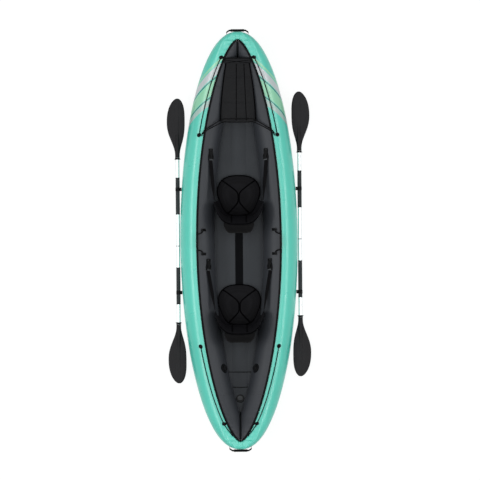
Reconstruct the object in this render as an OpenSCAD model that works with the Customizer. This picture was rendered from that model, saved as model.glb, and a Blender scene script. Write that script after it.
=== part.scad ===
// Inflatable tandem kayak with two seats and two paddles held in clips along its sides.
// Millimetres. The bow points to +Y, +Z is up, and the flat of the bottom lies on z = 0.

/* [Hull] */
// Length of the hull from bow to stern, without the end handles
hull_length = 3300; // [3000:10:3600]
// Greatest width over both side tubes
hull_width = 932; // [900:2:980]
// Height of a side tube amidships
tube_height = 280; // [270:1:300]
// Height of the tubes' lowest line above the flat of the bottom
tube_lift = 2; // [1:0.5:6]
// How far the bow and stern rise above the middle
end_rise = 275; // [220:5:320]
// Half length of the level middle of the bottom
level_half = 680; // [660:5:740]
// Distance from a tip to where the two side tubes meet
closed_nose = 260; // [230:5:300]
// Gap along each weld between two panels
weld_gap = 0.6; // [0.4:0.1:0.9]

/* [Floor] */
// Width of the floor seen between the tubes amidships
floor_width = 388; // [370:2:400]
// Thickness of the floor chamber
floor_height = 98; // [90:1:106]
// Depth of the grooves between the floor's three air beams
beam_groove = 4; // [3:0.5:12]
// Width of one air beam of the floor
beam_width = 124; // [100:2:140]
// Reach of the floor under the side tubes
floor_lip = 40; // [30:1:50]
// Reach of the flat of the bottom beyond the gap between the tubes
floor_foot = 12; // [8:1:16]
// Set-in of the top of the floor at its edge
floor_bevel = 4; // [3:0.5:6]
// Thickness of the end floor panels
panel_thickness = 16; // [10:1:22]
// Distance from the end floor panels to where the tubes meet
panel_nose = 12; // [10:1:40]
// Drop of the end floor panels below the tubes' middle
panel_drop = 45; // [35:1:55]
// Width of the hook-and-loop strip that holds the seats
strip_width = 62; // [40:2:70]
// Thickness of the hook-and-loop strip
strip_thickness = 2.5; // [2:0.1:4]

/* [Hem and cords] */
// Half width between the hem lines amidships
hem_half = 332; // [326:1:338]
// Distance from a tip to the hem's apex
hem_nose = 66; // [56:1:70]
// Diameter of the hem piping
hem_d = 12; // [9:0.5:14]
// Diameter of the deck bungee
cord_d = 7; // [5:0.5:9]
// Distance amidships from the hem to the outer cord tabs
tab_offset = 42; // [36:1:48]
// Length of a cord tab
tab_length = 28; // [22:1:32]
// Width of a cord tab
tab_width = 20; // [16:1:24]
// Thickness of a cord tab
tab_thickness = 3; // [2:0.5:4]
// Distance from a tip to the wide cord tabs
wide_tab_nose = 812; // [790:1:830]
// Distance from a tip to the narrow cord tabs
narrow_tab_nose = 202; // [190:1:220]

/* [Bow bag] */
// Distance from the tip of the bow to the rear of the bag
bag_rear_nose = 707; // [690:1:725]
// Distance from the tip of the bow to the front of the bag
bag_front_nose = 204; // [195:1:220]
// Half width of the bag at its rear
bag_rear_half = 143; // [130:1:150]
// Half width of the bag at its front
bag_front_half = 90; // [80:1:95]
// Crown of the bag above the tubes
bag_crown = 8; // [4:1:16]

/* [Handles] */
// Half length of the grip on an end handle
end_grip_half = 54; // [45:1:60]
// Diameter of the grips on the end handles
end_grip_d = 21; // [19:0.5:24]
// Reach of an end handle from its hinge
end_reach = 38; // [36:0.5:46]
// Angle that an end handle hangs below the level, in degrees
end_droop = 45; // [40:1:45]
// Width of the end handle webbing
end_web_w = 17; // [14:0.5:18]
// Thickness of the end handle webbing
end_web_t = 2.5; // [2:0.1:3]
// Middle of the side handles along the hull
side_handle_y = -10; // [-40:1:20]
// Distance between the tabs of a side handle
side_handle_span = 190; // [160:2:220]
// Distance from the hem in to the side handle tabs
side_tab_in = 43; // [38:1:50]
// Diameter of the side handle rope
rope_d = 10; // [8:0.5:11]
// Length of the side handle grip
side_grip_l = 84; // [70:1:95]
// Diameter of the side handle grip
side_grip_d = 18; // [16:0.5:20]

/* [Seats] */
// Middle of the front seat pad along the hull
front_seat_y = 357; // [340:1:380]
// Middle of the rear seat pad along the hull
rear_seat_y = -511; // [-530:1:-495]
// Width of a seat pad
pad_width = 340; // [310:2:350]
// Length of a seat pad
pad_length = 316; // [290:2:330]
// Thickness of a seat pad at its crown
pad_height = 52; // [40:1:60]
// Share of its width that the pad loses towards its rear
pad_taper = 0.15; // [0.08:0.01:0.18]
// Depth of the sewn channels in pads and backs
seam_depth = 6; // [2:0.5:8]
// Height of a backrest above its hinge
back_height = 300; // [270:2:320]
// Widest half width of a backrest, at its wings
back_half = 196; // [186:1:200]
// Thickness of a backrest
back_thickness = 34; // [26:1:40]
// How far the wings of a backrest curl forwards
wing_forward = 145; // [100:1:155]
// Backward lean of a backrest, in degrees
back_lean = 12; // [8:0.5:15]
// Half width of the pouch behind a backrest
pouch_half = 119; // [100:1:125]
// Depth of the pouch behind a backrest
pouch_depth = 78; // [50:1:85]
// Width of the seat straps
strap_width = 32; // [26:1:34]
// Thickness of the seat straps
strap_thickness = 2.5; // [2:0.1:3]
// Sag of a seat strap in the middle of its run
strap_sag = 10; // [4:1:14]
// Front seat buckles along the hull
front_buckle_y = 684; // [674:1:700]
// Front seat buckles out from the middle
front_buckle_x = 220; // [214:1:226]
// Rear seat buckles along the hull
rear_buckle_y = -190; // [-200:1:-180]
// Rear seat buckles out from the middle
rear_buckle_x = 246; // [240:1:252]
// Length of a seat buckle
buckle_length = 92; // [80:1:96]
// Width of a seat buckle
buckle_width = 44; // [42:1:48]
// Thickness of a seat buckle
buckle_height = 11; // [9:0.5:13]

/* [Valves] */
// Distance from the tip of the stern to the valves
valve_nose = 636; // [620:1:650]
// Air valves out from the middle
valve_x = 124; // [118:1:130]
// Diameter of an air valve flange
valve_d = 58; // [52:1:62]
// Diameter of an air valve cap
valve_cap_d = 40; // [34:1:42]
// Place of the drain along the stern's floor panel, as a share of its length
drain_share = 0.42; // [0.38:0.01:0.46]
// Diameter of the drain flange
drain_d = 54; // [48:1:58]
// Thickness of the valve flanges
flange_t = 3; // [2:0.5:4]
// Height of the valve necks above their flanges
neck_h = 8; // [6:0.5:10]
// Wall of the valve necks
neck_wall = 4; // [3:0.5:5]
// Clearance between a cap and its neck
cap_clearance = 0.4; // [0.3:0.05:0.6]

/* [Paddles] */
// Length of a paddle
paddle_length = 2266; // [2200:2:2320]
// Length of a blade, from its tip to its throat
blade_length = 452; // [430:1:470]
// Reach of a blade from the shaft axis on its broad side
blade_broad = 83; // [75:1:90]
// Reach of a blade from the shaft axis on its narrow side
blade_narrow = 60; // [52:1:64]
// Outer diameter of the shaft
shaft_d = 30; // [28:0.5:32]
// Wall of the shaft tube
shaft_wall = 1.2; // [1:0.1:1.6]
// Outer diameter of the grips
grip_d = 33; // [32:0.5:36]
// Length of a grip
grip_length = 294; // [270:2:310]
// Distance from a blade tip to its grip
grip_start = 629; // [610:1:640]
// Distance from a blade's socket to its drip ring
ring_gap = 1; // [0.5:0.5:20]
// Length of the blade's socket outside its throat
socket_out = 18; // [14:1:30]
// Diameter of a drip ring
ring_d = 50; // [44:1:56]
// Length of the sleeve that joins the shaft halves
sleeve_length = 160; // [120:2:200]
// Radial clearance of sleeved and turning pieces on the shaft
turn_clearance = 0.06; // [0.03:0.01:0.09]
// Diameter of the spring button
button_d = 7; // [6:0.5:8]
// How far the spring button stands out of the shaft
button_proud = 3; // [2:0.5:4]
// Greatest feather angle each way, in degrees
feather_angle = 60; // [45:1:70]
// How far the right paddle lies ahead of the left one
paddle_shift = 49; // [0:1:60]
// Distance of the paddle clips from amidships
clip_y = 410; // [400:1:420]
// Length of a paddle clip
clip_length = 28; // [22:1:34]
// Wall of a paddle clip
clip_wall = 5.5; // [4:0.5:7]
// Clearance between a clip and the grip that it holds
clip_clearance = 0.4; // [0.3:0.05:0.6]
// Clearance between the hull's widest line and a paddle grip
paddle_gap = 1.5; // [1:0.1:4]

/* [Hidden] */
$fn = 48;
half = hull_length / 2;
beam = hull_width / 2;
meet_y = half - closed_nose;
hem_apex = half - hem_nose;
wide_tab_y = half - wide_tab_nose;
narrow_tab_y = half - narrow_tab_nose;
bag_rear_y = half - bag_rear_nose;
bag_front_y = half - bag_front_nose;
valve_y = valve_nose - half;
seam_half = 0.3;
seat_gap = 0.4;
plan_power = 0.46;
hem_power = 0.65;
floor_power = 2.2;
tube_power = 0.45;
rise_power = 2.6;
round_nose = 3.5;
wing_power = 3.8;
tip_share = 0.012;
station_step = 4.5;
station_count = 40;
floor_end_station = 30;
hem_end_station = 36;
handle_station = 38;
outer_steps = 16;
inner_steps = 14;

// Hull form: the right side tube, described station by station along Y
function station_angle(i) = (i - station_count / 2) * station_step;
function station_y(i) = half * sin(station_angle(i));
function along(y) = min(1, abs(y) / half);
function blunt(y) = max(tip_share * tip_share, 1 - along(y) * along(y));
function half_width(y) = beam * pow(blunt(y), plan_power);
function floor_share(y) = 1 - pow(min(1, abs(y) / meet_y), floor_power);
function inner_edge(y) = max(seam_half, floor_width / 2 * floor_share(y));
function tube_a(y) = (half_width(y) - inner_edge(y)) / 2;
function tube_x(y) = (half_width(y) + inner_edge(y)) / 2;
function tube_b(y) = tube_height / 2 * pow(max(tip_share / 30, 1 - pow(along(y), 6)), tube_power);
function rocker(y) = end_rise * pow(max(0, abs(y) - level_half) / (half - level_half), rise_power);
function tube_z(y) = tube_lift + tube_height / 2 + rocker(y);
function crest_z(y) = tube_z(y) + tube_b(y);
function ease(t) = let (c = max(0, min(1, t))) c * c * (3 - 2 * c);
function crease(y) = 2 + round_nose * ease((abs(y) - meet_y) / (hem_apex - meet_y));
function hem(y) = hem_half * pow(max(0, 1 - pow(y / hem_apex, 2)), hem_power);
function hem_slope(y) = (hem(y + 1) - hem(y - 1)) / 2;
function power_sign(v, p) = sign(v) * pow(abs(v), p);

// Point of the tube's section: angle 0 is outboard, 90 the crest, 180 inboard
function tube_point(y, angle) =
    let (n = cos(angle) >= 0 ? 2 : crease(y))
    [tube_x(y) + tube_a(y) * power_sign(cos(angle), 2 / n), y,
     tube_z(y) + tube_b(y) * power_sign(sin(angle), 2 / n)];

// Angle of the hem on the section, with the weld's half gap added
function hem_angle(y, gap) =
    let (h = (hem(y) + gap - tube_x(y)) / tube_a(y))
    h >= 0 ? acos(min(0.99, h)) : 180 - max(4, acos(pow(min(1, -h), crease(y) / 2)));

// Height of the tube's upper surface above a point in plan, and its slopes
function skin_z(x, y) =
    let (h = (x - tube_x(y)) / tube_a(y))
    let (n = h >= 0 ? 2 : crease(y))
    tube_z(y) + tube_b(y) * pow(max(0, 1 - pow(abs(h), n)), 1 / n);
function slope_x(x, y) = (skin_z(x + 1, y) - skin_z(x - 1, y)) / 2;
function slope_y(x, y) = (skin_z(x, y + 1) - skin_z(x, y - 1)) / 2;

// Half width between the tubes at a height below their middle
function clear_x(y, z) =
    let (h = min(1, abs(z - tube_z(y)) / tube_b(y)))
    tube_x(y) - tube_a(y) * pow(1 - pow(h, crease(y)), 1 / crease(y));

// Top of the floor chamber, with its three air beams
function floor_top(x, y) =
    rocker(y) + floor_height - beam_groove + beam_groove * sqrt(abs(cos(180 * x / beam_width)));

function unit(v) = v / norm(v);
function mirror_x(points) = [for (p = points) [-p.x, p.y, p.z]];
function reversed(list) = [for (i = [len(list) - 1:-1:0]) list[i]];
function mix(a, b, t) = a + (b - a) * t;
function midpoint(a, b) = (a + b) / 2;

// Quads of a grid of rings as triangles, from ring i to ring k
function ring_strip(i, k, n) =
    [for (j = [0:n - 1])
        let (a = i * n + j, b = i * n + (j + 1) % n, c = k * n + j, d = k * n + (j + 1) % n)
        each [[a, b, d], [a, d, c]]];

// Solid through a row of rings, closed with a face at each end
module loft(rings) {
    n = len(rings[0]);
    m = len(rings);
    strips = [for (i = [0:m - 2]) each ring_strip(i, i + 1, n)];
    caps = [[for (j = [n - 1:-1:0]) j], [for (j = [0:n - 1]) (m - 1) * n + j]];
    polyhedron([for (r = rings) each r], concat(strips, caps));
}

// Solid through rings whose last joins the first
module closed_loft(rings) {
    n = len(rings[0]);
    m = len(rings);
    strips = [for (i = [0:m - 1]) each ring_strip(i, (i + 1) % m, n)];
    polyhedron([for (r = rings) each r], strips);
}

// Solid between two grids of points of one size, with a strip round the rim
module slab(front, back) {
    rows = len(front);
    columns = len(front[0]);
    count = rows * columns;
    rim = concat([for (j = [0:columns - 1]) j], [for (i = [1:rows - 1]) i * columns + columns - 1],
        [for (j = [columns - 2:-1:0]) (rows - 1) * columns + j], [for (i = [rows - 2:-1:1]) i * columns]);
    faces = [for (i = [0:rows - 2], j = [0:columns - 2])
        let (a = i * columns + j, b = a + 1, c = a + columns, d = c + 1)
        each [[a, d, c], [a, b, d], [count + a, count + c, count + d], [count + a, count + d, count + b]]];
    edge = [for (k = [0:len(rim) - 1])
        let (a = rim[k], b = rim[(k + 1) % len(rim)])
        each [[a, count + b, b], [a, count + a, count + b]]];
    polyhedron(concat([for (r = front) each r], [for (r = back) each r]), concat(faces, edge));
}

// Rings of a round cord along a path that is never upright
function path_tangent(path, i, closed) =
    let (n = len(path))
    closed ? unit(path[(i + 1) % n] - path[(i + n - 1) % n])
           : unit(path[min(i + 1, n - 1)] - path[max(i - 1, 0)]);
function path_side(path, i, closed) = unit(cross(path_tangent(path, i, closed), [0, 0, 1]));
function round_rings(path, r, sides, closed = false) =
    [for (i = [0:len(path) - 1])
        let (t = path_tangent(path, i, closed), s = path_side(path, i, closed), up = cross(s, t))
        [for (k = [0:sides - 1]) path[i] + r * (cos(360 * k / sides) * s + sin(360 * k / sides) * up)]];

// Rings of a flat band along a path, with a direction across it at each point
function band_rings(path, across, width, thickness) =
    [for (i = [0:len(path) - 1])
        let (t = path_tangent(path, i, false), s = unit(across[i] - t * (across[i] * t)), n = cross(s, t))
        [path[i] + s * width / 2 + n * thickness / 2, path[i] - s * width / 2 + n * thickness / 2,
         path[i] - s * width / 2 - n * thickness / 2, path[i] + s * width / 2 - n * thickness / 2]];

// Children stand on the right tube, with their Z along its outward normal and Y along the hull
module on_skin(x, y) {
    n = unit([-slope_x(x, y), -slope_y(x, y), 1]);
    e2 = unit([0, 1, slope_y(x, y)]);
    e1 = cross(e2, n);
    p = [x, y, skin_z(x, y)] + n * (seat_gap + 0.3);
    multmatrix([[e1.x, e2.x, n.x, p.x], [e1.y, e2.y, n.y, p.y], [e1.z, e2.z, n.z, p.z], [0, 0, 0, 1]])
        children();
}

// Children on the right and, mirrored, on the left
module both_sides() {
    children();
    mirror([1, 0, 0]) children();
}

// Children at the bow and, mirrored, at the stern
module both_ends() {
    children();
    mirror([0, 1, 0]) children();
}

// Hull panels
module outer_panel() {
    function ring(y) = let (top = hem_angle(y, weld_gap / 2))
        [for (k = [0:outer_steps]) tube_point(y, top * (2 * k / outer_steps - 1))];
    loft([for (i = [0:station_count]) ring(station_y(i))]);
}

module inner_panel() {
    end_y = hem_apex - 6;
    function ring(y) = let (top = hem_angle(y, -weld_gap / 2))
        [for (k = [0:inner_steps]) tube_point(y, top + (360 - 2 * top) * k / inner_steps)];
    middle = [for (i = [station_count - hem_end_station:hem_end_station]) ring(station_y(i))];
    loft(concat([ring(-end_y)], middle, [ring(end_y)]));
}

module right_outer_panel() {
    color("mediumturquoise") outer_panel();
}

module left_outer_panel() {
    color("mediumturquoise") mirror([1, 0, 0]) outer_panel();
}

module right_inner_panel() {
    color("dimgray") inner_panel();
}

module left_inner_panel() {
    color("dimgray") mirror([1, 0, 0]) inner_panel();
}

// Floor: three air beams nested between the tubes, and a panel closing each end
function floor_ring(y) =
    let (levels = [0.22, 0.36, 0.5, 0.64, 0.78, 0.9])
    let (across = 14)
    let (base = rocker(y), edge = inner_edge(y))
    let (side = [for (l = levels)
        let (z = base + floor_height * l) [min(clear_x(y, z) - weld_gap, edge + floor_lip), y, z]])
    let (top_half = side[len(side) - 1].x - floor_bevel)
    let (top = [for (k = [0:across]) let (x = top_half * (1 - 2 * k / across)) [x, y, floor_top(x, y)]])
    let (foot = edge + floor_foot)
    concat([[foot, y, base]], side, top, reversed(mirror_x(side)), [[-foot, y, base]]);

module floor_chamber() {
    color("slategray")
        loft([for (i = [station_count - floor_end_station:floor_end_station])
            floor_ring(station_y(i))]);
}

panel_start = station_y(floor_end_station) + weld_gap;
panel_end = meet_y - panel_nose;
drain_y = -mix(panel_start, panel_end, drain_share);
function panel_top(y) =
    let (t = (abs(y) - panel_start) / (panel_end - panel_start))
    mix(tube_z(panel_start), tube_z(panel_end), t) - panel_drop;
function panel_ring(y) =
    let (top = panel_top(y), low = top - panel_thickness, room = 3 * weld_gap)
    let (right = [[clear_x(y, low) - room, y, low], [clear_x(y, top) - room, y, top]])
    concat(right, reversed(mirror_x(right)));

module end_floor_panels() {
    steps = 4;
    color("slategray")
        both_ends() loft([for (k = [0:steps]) panel_ring(mix(panel_start, panel_end, k / steps))]);
}

module floor_strip() {
    front = front_seat_y + pad_length / 2 - 12;
    rear = rear_seat_y - pad_length / 2 + 12;
    steps = 6;
    under = [for (k = [0:steps])
        let (x = strip_width * (k / steps - 0.5)) [x, floor_top(x, 0) + seat_gap / 2]];
    top = floor_height + strip_thickness;
    over = [[strip_width / 2, top], [-strip_width / 2, top]];
    color("black")
        translate([0, front, 0]) rotate([90, 0, 0])
            linear_extrude(front - rear) polygon(concat(under, over));
}

// Hem piping: one loop along both hem lines
function hem_point(y) =
    let (skin = skin_z(hem(y), y))
    [hem(y), y, (abs(y) > meet_y ? max(crest_z(y), skin) : skin) + hem_d / 2 + seat_gap];

module hem_piping() {
    apex_step = 7;
    ys = concat([-hem_apex + apex_step],
        [for (i = [station_count - hem_end_station:hem_end_station]) station_y(i)], [hem_apex - apex_step]);
    right = [for (y = ys) hem_point(y)];
    path = concat([hem_point(-hem_apex)], right, [hem_point(hem_apex)], reversed(mirror_x(right)));
    color("black") closed_loft(round_rings(path, hem_d / 2, 6, true));
}

// Deck cords and their tabs
function tab_out(y) = hem(y) + tab_offset * (0.45 + 0.55 * hem(y) / hem(wide_tab_y));

module cord_tab() {
    loop_r = tab_width / 2 - 3;
    loop_t = tab_thickness;
    translate([-tab_length / 2, -tab_width / 2, 0]) cube([tab_length, tab_width, tab_thickness]);
    translate([0, 0, tab_thickness]) rotate([90, 0, 90])
        rotate_extrude(angle = 180) translate([loop_r, -loop_t]) square([loop_t, 2 * loop_t]);
}

module cord_tabs() {
    both_sides() {
        on_skin(tab_out(wide_tab_y), wide_tab_y) cord_tab();
        on_skin(tab_out(narrow_tab_y), narrow_tab_y) cord_tab();
    }
}

module bow_cord_tabs() {
    color("black") cord_tabs();
}

module stern_cord_tabs() {
    color("black") mirror([0, 1, 0]) cord_tabs();
}

// Route along the tube between two tabs, a cord's radius clear of the skin
function skin_route(y0, y1, steps) =
    [for (k = [0:steps])
        let (y = mix(y0, y1, k / steps), x = tab_out(y)) [x, y, skin_z(x, y) + cord_d / 2 + 1]];
end_clear = tab_width / 2 + cord_d / 2;
side_route = skin_route(wide_tab_y + end_clear, narrow_tab_y - end_clear, 10);

// Strand from the right wide tab over the hem and across the rear of the bag to the left tab
function cross_route(start_y, bag_y, bow) =
    let (lift = cord_d / 2 + 1, hem_y = mix(start_y, bag_y, 0.32))
    let (start_x = tab_out(wide_tab_y) - tab_length / 2 - cord_d)
    let (over = [hem(hem_y), hem_y, hem_point(hem_y).z + hem_d / 2 + lift + 2])
    let (edge = [bag_rear_half - 12, bag_y, bag_z(bag_rear_half - 12, bag_rear_y) + lift + 6])
    let (right = [[start_x, start_y, skin_z(start_x, start_y) + lift], over, edge])
    let (middle = [[bag_rear_half / 2, bag_y + bow, bag_z(bag_rear_half / 2, bag_rear_y) + lift + 4]])
    concat(right, middle, [[0, bag_y + bow, bag_z(0, bag_rear_y) + lift + 4]],
        mirror_x(reversed(middle)), mirror_x(reversed(right)));

module bow_cords() {
    color("black") {
        both_sides() loft(round_rings(side_route, cord_d / 2, 6));
        loft(round_rings(cross_route(wide_tab_y + 4, bag_rear_y + 14, 6), cord_d / 2, 6));
        loft(round_rings(cross_route(wide_tab_y - 7, bag_rear_y - 8, 2), cord_d / 2, 6));
    }
}

module stern_cords() {
    apex_y = hem_apex - 40;
    start_y = narrow_tab_y + end_clear;
    beside = hem_d / 2 + cord_d / 2 + 1;
    tail = [for (k = [0:3])
        let (t = k / 3, y = mix(start_y, apex_y, t))
        let (x = mix(tab_out(y), hem(y) + beside * sqrt(1 + pow(hem_slope(y), 2)), t))
        [x, y, skin_z(x, y) + cord_d / 2 + seat_gap / 2]];
    color("black") mirror([0, 1, 0]) both_sides() {
        loft(round_rings(side_route, cord_d / 2, 6));
        loft(round_rings(tail, cord_d / 2, 6));
    }
}

// Bow bag: a soft wedge resting on the inner slopes of the tubes
function bag_half(y) =
    let (t = (y - bag_rear_y) / (bag_front_y - bag_rear_y))
    bag_rear_half + (bag_front_half - bag_rear_half) * power_sign(t, 1.7);
function bag_z(x, y) =
    let (s = min(1, abs(x) / bag_half(y)))
    let (side = max(crest_z(y) - 34, skin_z(bag_half(y), y) + 8))
    side + (crest_z(y) + bag_crown - side) * pow(1 - pow(s, 2.6), 0.6);
function bag_ring(y) =
    let (w = bag_half(y), f = inner_edge(y) + 8, rest = 4, lower = 4, upper = 5)
    let (under = [for (k = [0:lower]) let (x = mix(f, w, k / lower)) [x, y, skin_z(x, y) + rest]])
    let (over = [for (k = [0:upper - 1]) let (x = w * (1 - pow(k / upper, 1.6))) [x, y, bag_z(x, y)]])
    let (right = concat(under, over))
    concat(right, [[0, y, bag_z(0, y)]], reversed(mirror_x(right)));

function station_at(y) = floor(asin(y / half) / station_step + station_count / 2);
function bag_end(y) =
    let (i = station_at(y), t = (y - station_y(i)) / (station_y(i + 1) - station_y(i)))
    mix(bag_ring(station_y(i)), bag_ring(station_y(i + 1)), t);

module bow_bag() {
    stations = [station_at(bag_rear_y) + 1:station_at(bag_front_y)];
    color("darkslategray")
        loft(concat([bag_end(bag_rear_y)], [for (i = stations) bag_ring(station_y(i))],
            [bag_end(bag_front_y)]));
}

// End handles: webbing on a cross pin each side of the nose, through a moulded grip
handle_x = half_width(station_y(handle_station));
hinge_y = station_y(handle_station) + 4.3;
hinge_z = tube_z(hinge_y);
grip_y = hinge_y + end_reach;

module end_handle_web() {
    side = handle_x + end_web_t / 2;
    corner = mix(side, end_grip_half, 0.55);
    right = [[side, hinge_y + 2, hinge_z], [side, hinge_y + end_reach * 0.4, hinge_z],
        [corner, hinge_y + end_reach * 0.88, hinge_z], [end_grip_half + 1, grip_y, hinge_z]];
    path = concat(right, mirror_x(reversed(right)));
    loft(band_rings(path, [for (p = path) [0, 0, 1]], end_web_w, end_web_t));
    for (s = [-1, 1])
        translate([s * side, hinge_y, hinge_z]) rotate([0, 90, 0])
            cylinder(h = end_web_t, r = 3.5, center = true);
}

module end_handle_grip() {
    translate([0, grip_y, hinge_z]) rotate([0, 90, 0]) difference() {
        rotate_extrude() polygon([[0, -end_grip_half], [end_grip_d / 2 - 2, -end_grip_half],
            [end_grip_d / 2, -end_grip_half + 3], [end_grip_d / 2, end_grip_half - 3],
            [end_grip_d / 2 - 2, end_grip_half], [0, end_grip_half]]);
        cube([end_web_w + 2 * seat_gap, end_web_t + 2 * seat_gap, 3 * end_grip_half], center = true);
    }
}

// Children hang from the bow's hinge line
module hanging() {
    translate([0, hinge_y, hinge_z]) rotate([-end_droop, 0, 0]) translate([0, -hinge_y, -hinge_z]) children();
}

module bow_handle_web() {
    color("black") hanging() end_handle_web();
}

module bow_handle_grip() {
    color("black") hanging() end_handle_grip();
}

module stern_handle_web() {
    color("black") mirror([0, 1, 0]) hanging() end_handle_web();
}

module stern_handle_grip() {
    color("black") mirror([0, 1, 0]) hanging() end_handle_grip();
}

// Side handles: a rope loop from two tabs up to the hem, with a round grip that rests on it
side_tab_x = hem(side_handle_y) - side_tab_in;
rope_z = skin_z(side_tab_x, side_handle_y) + tab_thickness + seat_gap + rope_d;
side_grip_x = hem(side_handle_y);
side_grip_z = hem_point(side_handle_y).z + hem_d / 2 + side_grip_d / 2 + 2 * seat_gap;

module side_handle_tabs() {
    eye_r = rope_d / 2 + 3;
    function low(dx) = skin_z(side_tab_x + dx, side_handle_y) + seat_gap + 0.3 - rope_z;
    color("black") both_sides() for (s = [-1, 1])
        translate([side_tab_x, side_handle_y + s * side_handle_span / 2 + tab_width / 2, rope_z])
            rotate([90, 0, 0]) linear_extrude(tab_width) difference() {
                union() {
                    circle(eye_r);
                    polygon(concat(
                        [[eye_r - 1, 0], [1 - eye_r, 0], [-tab_length, low(-tab_length) + tab_thickness]],
                        [for (k = [0:6]) let (dx = mix(-tab_length, eye_r + 1, k / 6)) [dx, low(dx)]]));
                }
                circle(rope_d / 2 + turn_clearance);
            }
}

module side_handle_rope() {
    over_z = hem_point(side_handle_y).z + hem_d / 2 + rope_d / 2 + 1.6;
    span = side_handle_span / 2;
    grip_end = side_grip_l / 2;
    front = [[side_tab_x, span + tab_width / 2, rope_z], [side_tab_x, span - tab_width / 2 - 4, rope_z],
        [side_tab_x + 14, span - tab_width / 2 - 16, midpoint(rope_z, over_z) + 2],
        [hem(side_handle_y) - 4, mix(grip_end, span, 0.36), over_z],
        [side_grip_x - 3, grip_end + 10, side_grip_z + 4], [side_grip_x, grip_end + 3, side_grip_z],
        [side_grip_x, grip_end - 6, side_grip_z]];
    rear = [for (p = reversed(front)) [p.x, -p.y, p.z]];
    translate([0, side_handle_y, 0]) loft(round_rings(concat(front, rear), rope_d / 2, 8));
}

module side_handle_grip() {
    translate([side_grip_x, side_handle_y, side_grip_z]) rotate([90, 0, 0]) difference() {
        rotate_extrude() polygon([[0, -side_grip_l / 2], [side_grip_d / 2 - 2, -side_grip_l / 2],
            [side_grip_d / 2, -side_grip_l / 2 + 3], [side_grip_d / 2, side_grip_l / 2 - 3],
            [side_grip_d / 2 - 2, side_grip_l / 2], [0, side_grip_l / 2]]);
        cylinder(h = 2 * side_grip_l, r = rope_d / 2 + seat_gap, center = true);
    }
}

module right_handle_rope() {
    color("black") side_handle_rope();
}

module left_handle_rope() {
    color("black") mirror([1, 0, 0]) side_handle_rope();
}

module right_handle_grip() {
    color("black") side_handle_grip();
}

module left_handle_grip() {
    color("black") mirror([1, 0, 0]) side_handle_grip();
}

// Valves: a flanged neck with a screw cap, the air valves with a tether tab
module valve_body(flange_d, cap_d) {
    neck_r = cap_d / 2 - 3;
    difference() {
        union() {
            cylinder(h = flange_t, d = flange_d);
            cylinder(h = flange_t + neck_h, r = neck_r);
        }
        translate([0, 0, flange_t]) cylinder(h = neck_h + 1, r = neck_r - neck_wall);
    }
}

module valve_cap(cap_d) {
    neck_r = cap_d / 2 - 3;
    plug_r = neck_r - neck_wall - cap_clearance;
    lid_t = 4;
    ribs = 12;
    translate([0, 0, flange_t + neck_h + cap_clearance]) {
        difference() {
            cylinder(h = lid_t, d = cap_d);
            for (k = [0:ribs - 1]) rotate([0, 0, 360 * k / ribs])
                translate([cap_d / 2 + 1, 0, -1]) cylinder(h = lid_t + 2, r = 2.4);
        }
        translate([0, 0, 1 - neck_h]) cylinder(h = neck_h, r = plug_r);
        translate([-cap_d / 2 + 5, -2, lid_t - 1]) cube([cap_d - 10, 4, 5]);
    }
}

module valve_bodies() {
    tail = valve_d * 0.62;
    color("black") both_sides() on_skin(valve_x, valve_y) {
        valve_body(valve_d, valve_cap_d);
        linear_extrude(flange_t) polygon([[-valve_d * 0.34, valve_d * 0.34], [valve_d * 0.34, valve_d * 0.34],
            [6, tail], [-6, tail]]);
    }
}

module right_valve_cap() {
    color("black") on_skin(valve_x, valve_y) valve_cap(valve_cap_d);
}

module left_valve_cap() {
    color("black") mirror([1, 0, 0]) on_skin(valve_x, valve_y) valve_cap(valve_cap_d);
}

drain_slope = atan((panel_top(drain_y + 1) - panel_top(drain_y - 1)) / 2);
drain_cap_d = drain_d - 16;

module on_stern_panel() {
    translate([0, drain_y, panel_top(drain_y) + seat_gap])
        rotate([drain_slope, 0, 0]) children();
}

module drain_body() {
    color("black") on_stern_panel() valve_body(drain_d, drain_cap_d);
}

module drain_cap() {
    color("silver") on_stern_panel() valve_cap(drain_cap_d);
}

// Seat pad: crowned, drawn in at its edge and sewn along a double Y of channels
pad_base_z = floor_height + strip_thickness + seat_gap;
pad_seams = [[[-0.35, 0.35], [-0.16, 0.2]], [[-0.16, 0.2], [0, 0.06]], [[0.35, 0.35], [0.16, 0.2]],
    [[0.16, 0.2], [0, 0.06]], [[0, 0.06], [0, -0.2]],
    [[0, -0.2], [-0.24, -0.44]], [[0, -0.2], [0.24, -0.44]]];
function segment_distance(p, a, b) =
    let (t = max(0, min(1, (p - a) * (b - a) / ((b - a) * (b - a))))) norm(p - a - t * (b - a));
function seam_distance(p) =
    min([for (s = pad_seams)
        let (a = [s[0].x * pad_width, s[0].y * pad_length], b = [s[1].x * pad_width, s[1].y * pad_length])
        segment_distance(p, a, b)]);
function channel(p) = seam_depth * exp(-pow(seam_distance(p) / 11, 2));
function pad_outline(angle) =
    let (v = power_sign(sin(angle), 0.77), drawn_in = pad_taper * ease((0.3 - v) / 0.9))
    [pad_width / 2 * power_sign(cos(angle), 0.77) * (1 - drawn_in), pad_length / 2 * v];

module seat_pad(seat_y) {
    spokes = 40;
    shares = [0.96, 0.88, 0.76, 0.62, 0.47, 0.31, 0.15];
    edge_z = pad_height * 0.42;
    function outline_ring(share, z) =
        [for (k = [0:spokes - 1]) let (p = share * pad_outline(360 * k / spokes)) [p.x, p.y, z]];
    function crown_ring(share) =
        [for (k = [0:spokes - 1])
            let (p = share * pad_outline(360 * k / spokes))
            let (crown = edge_z + (pad_height - edge_z) * pow(1 - pow(share, 3), 0.7))
            [p.x, p.y, crown - channel(p) * (1 - pow(share, 8))]];
    rings = concat([outline_ring(0.9, 0), outline_ring(0.975, edge_z * 0.4), outline_ring(1, edge_z)],
        [for (s = shares) crown_ring(s)]);
    translate([0, seat_y, pad_base_z]) loft(reversed(rings));
}

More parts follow.
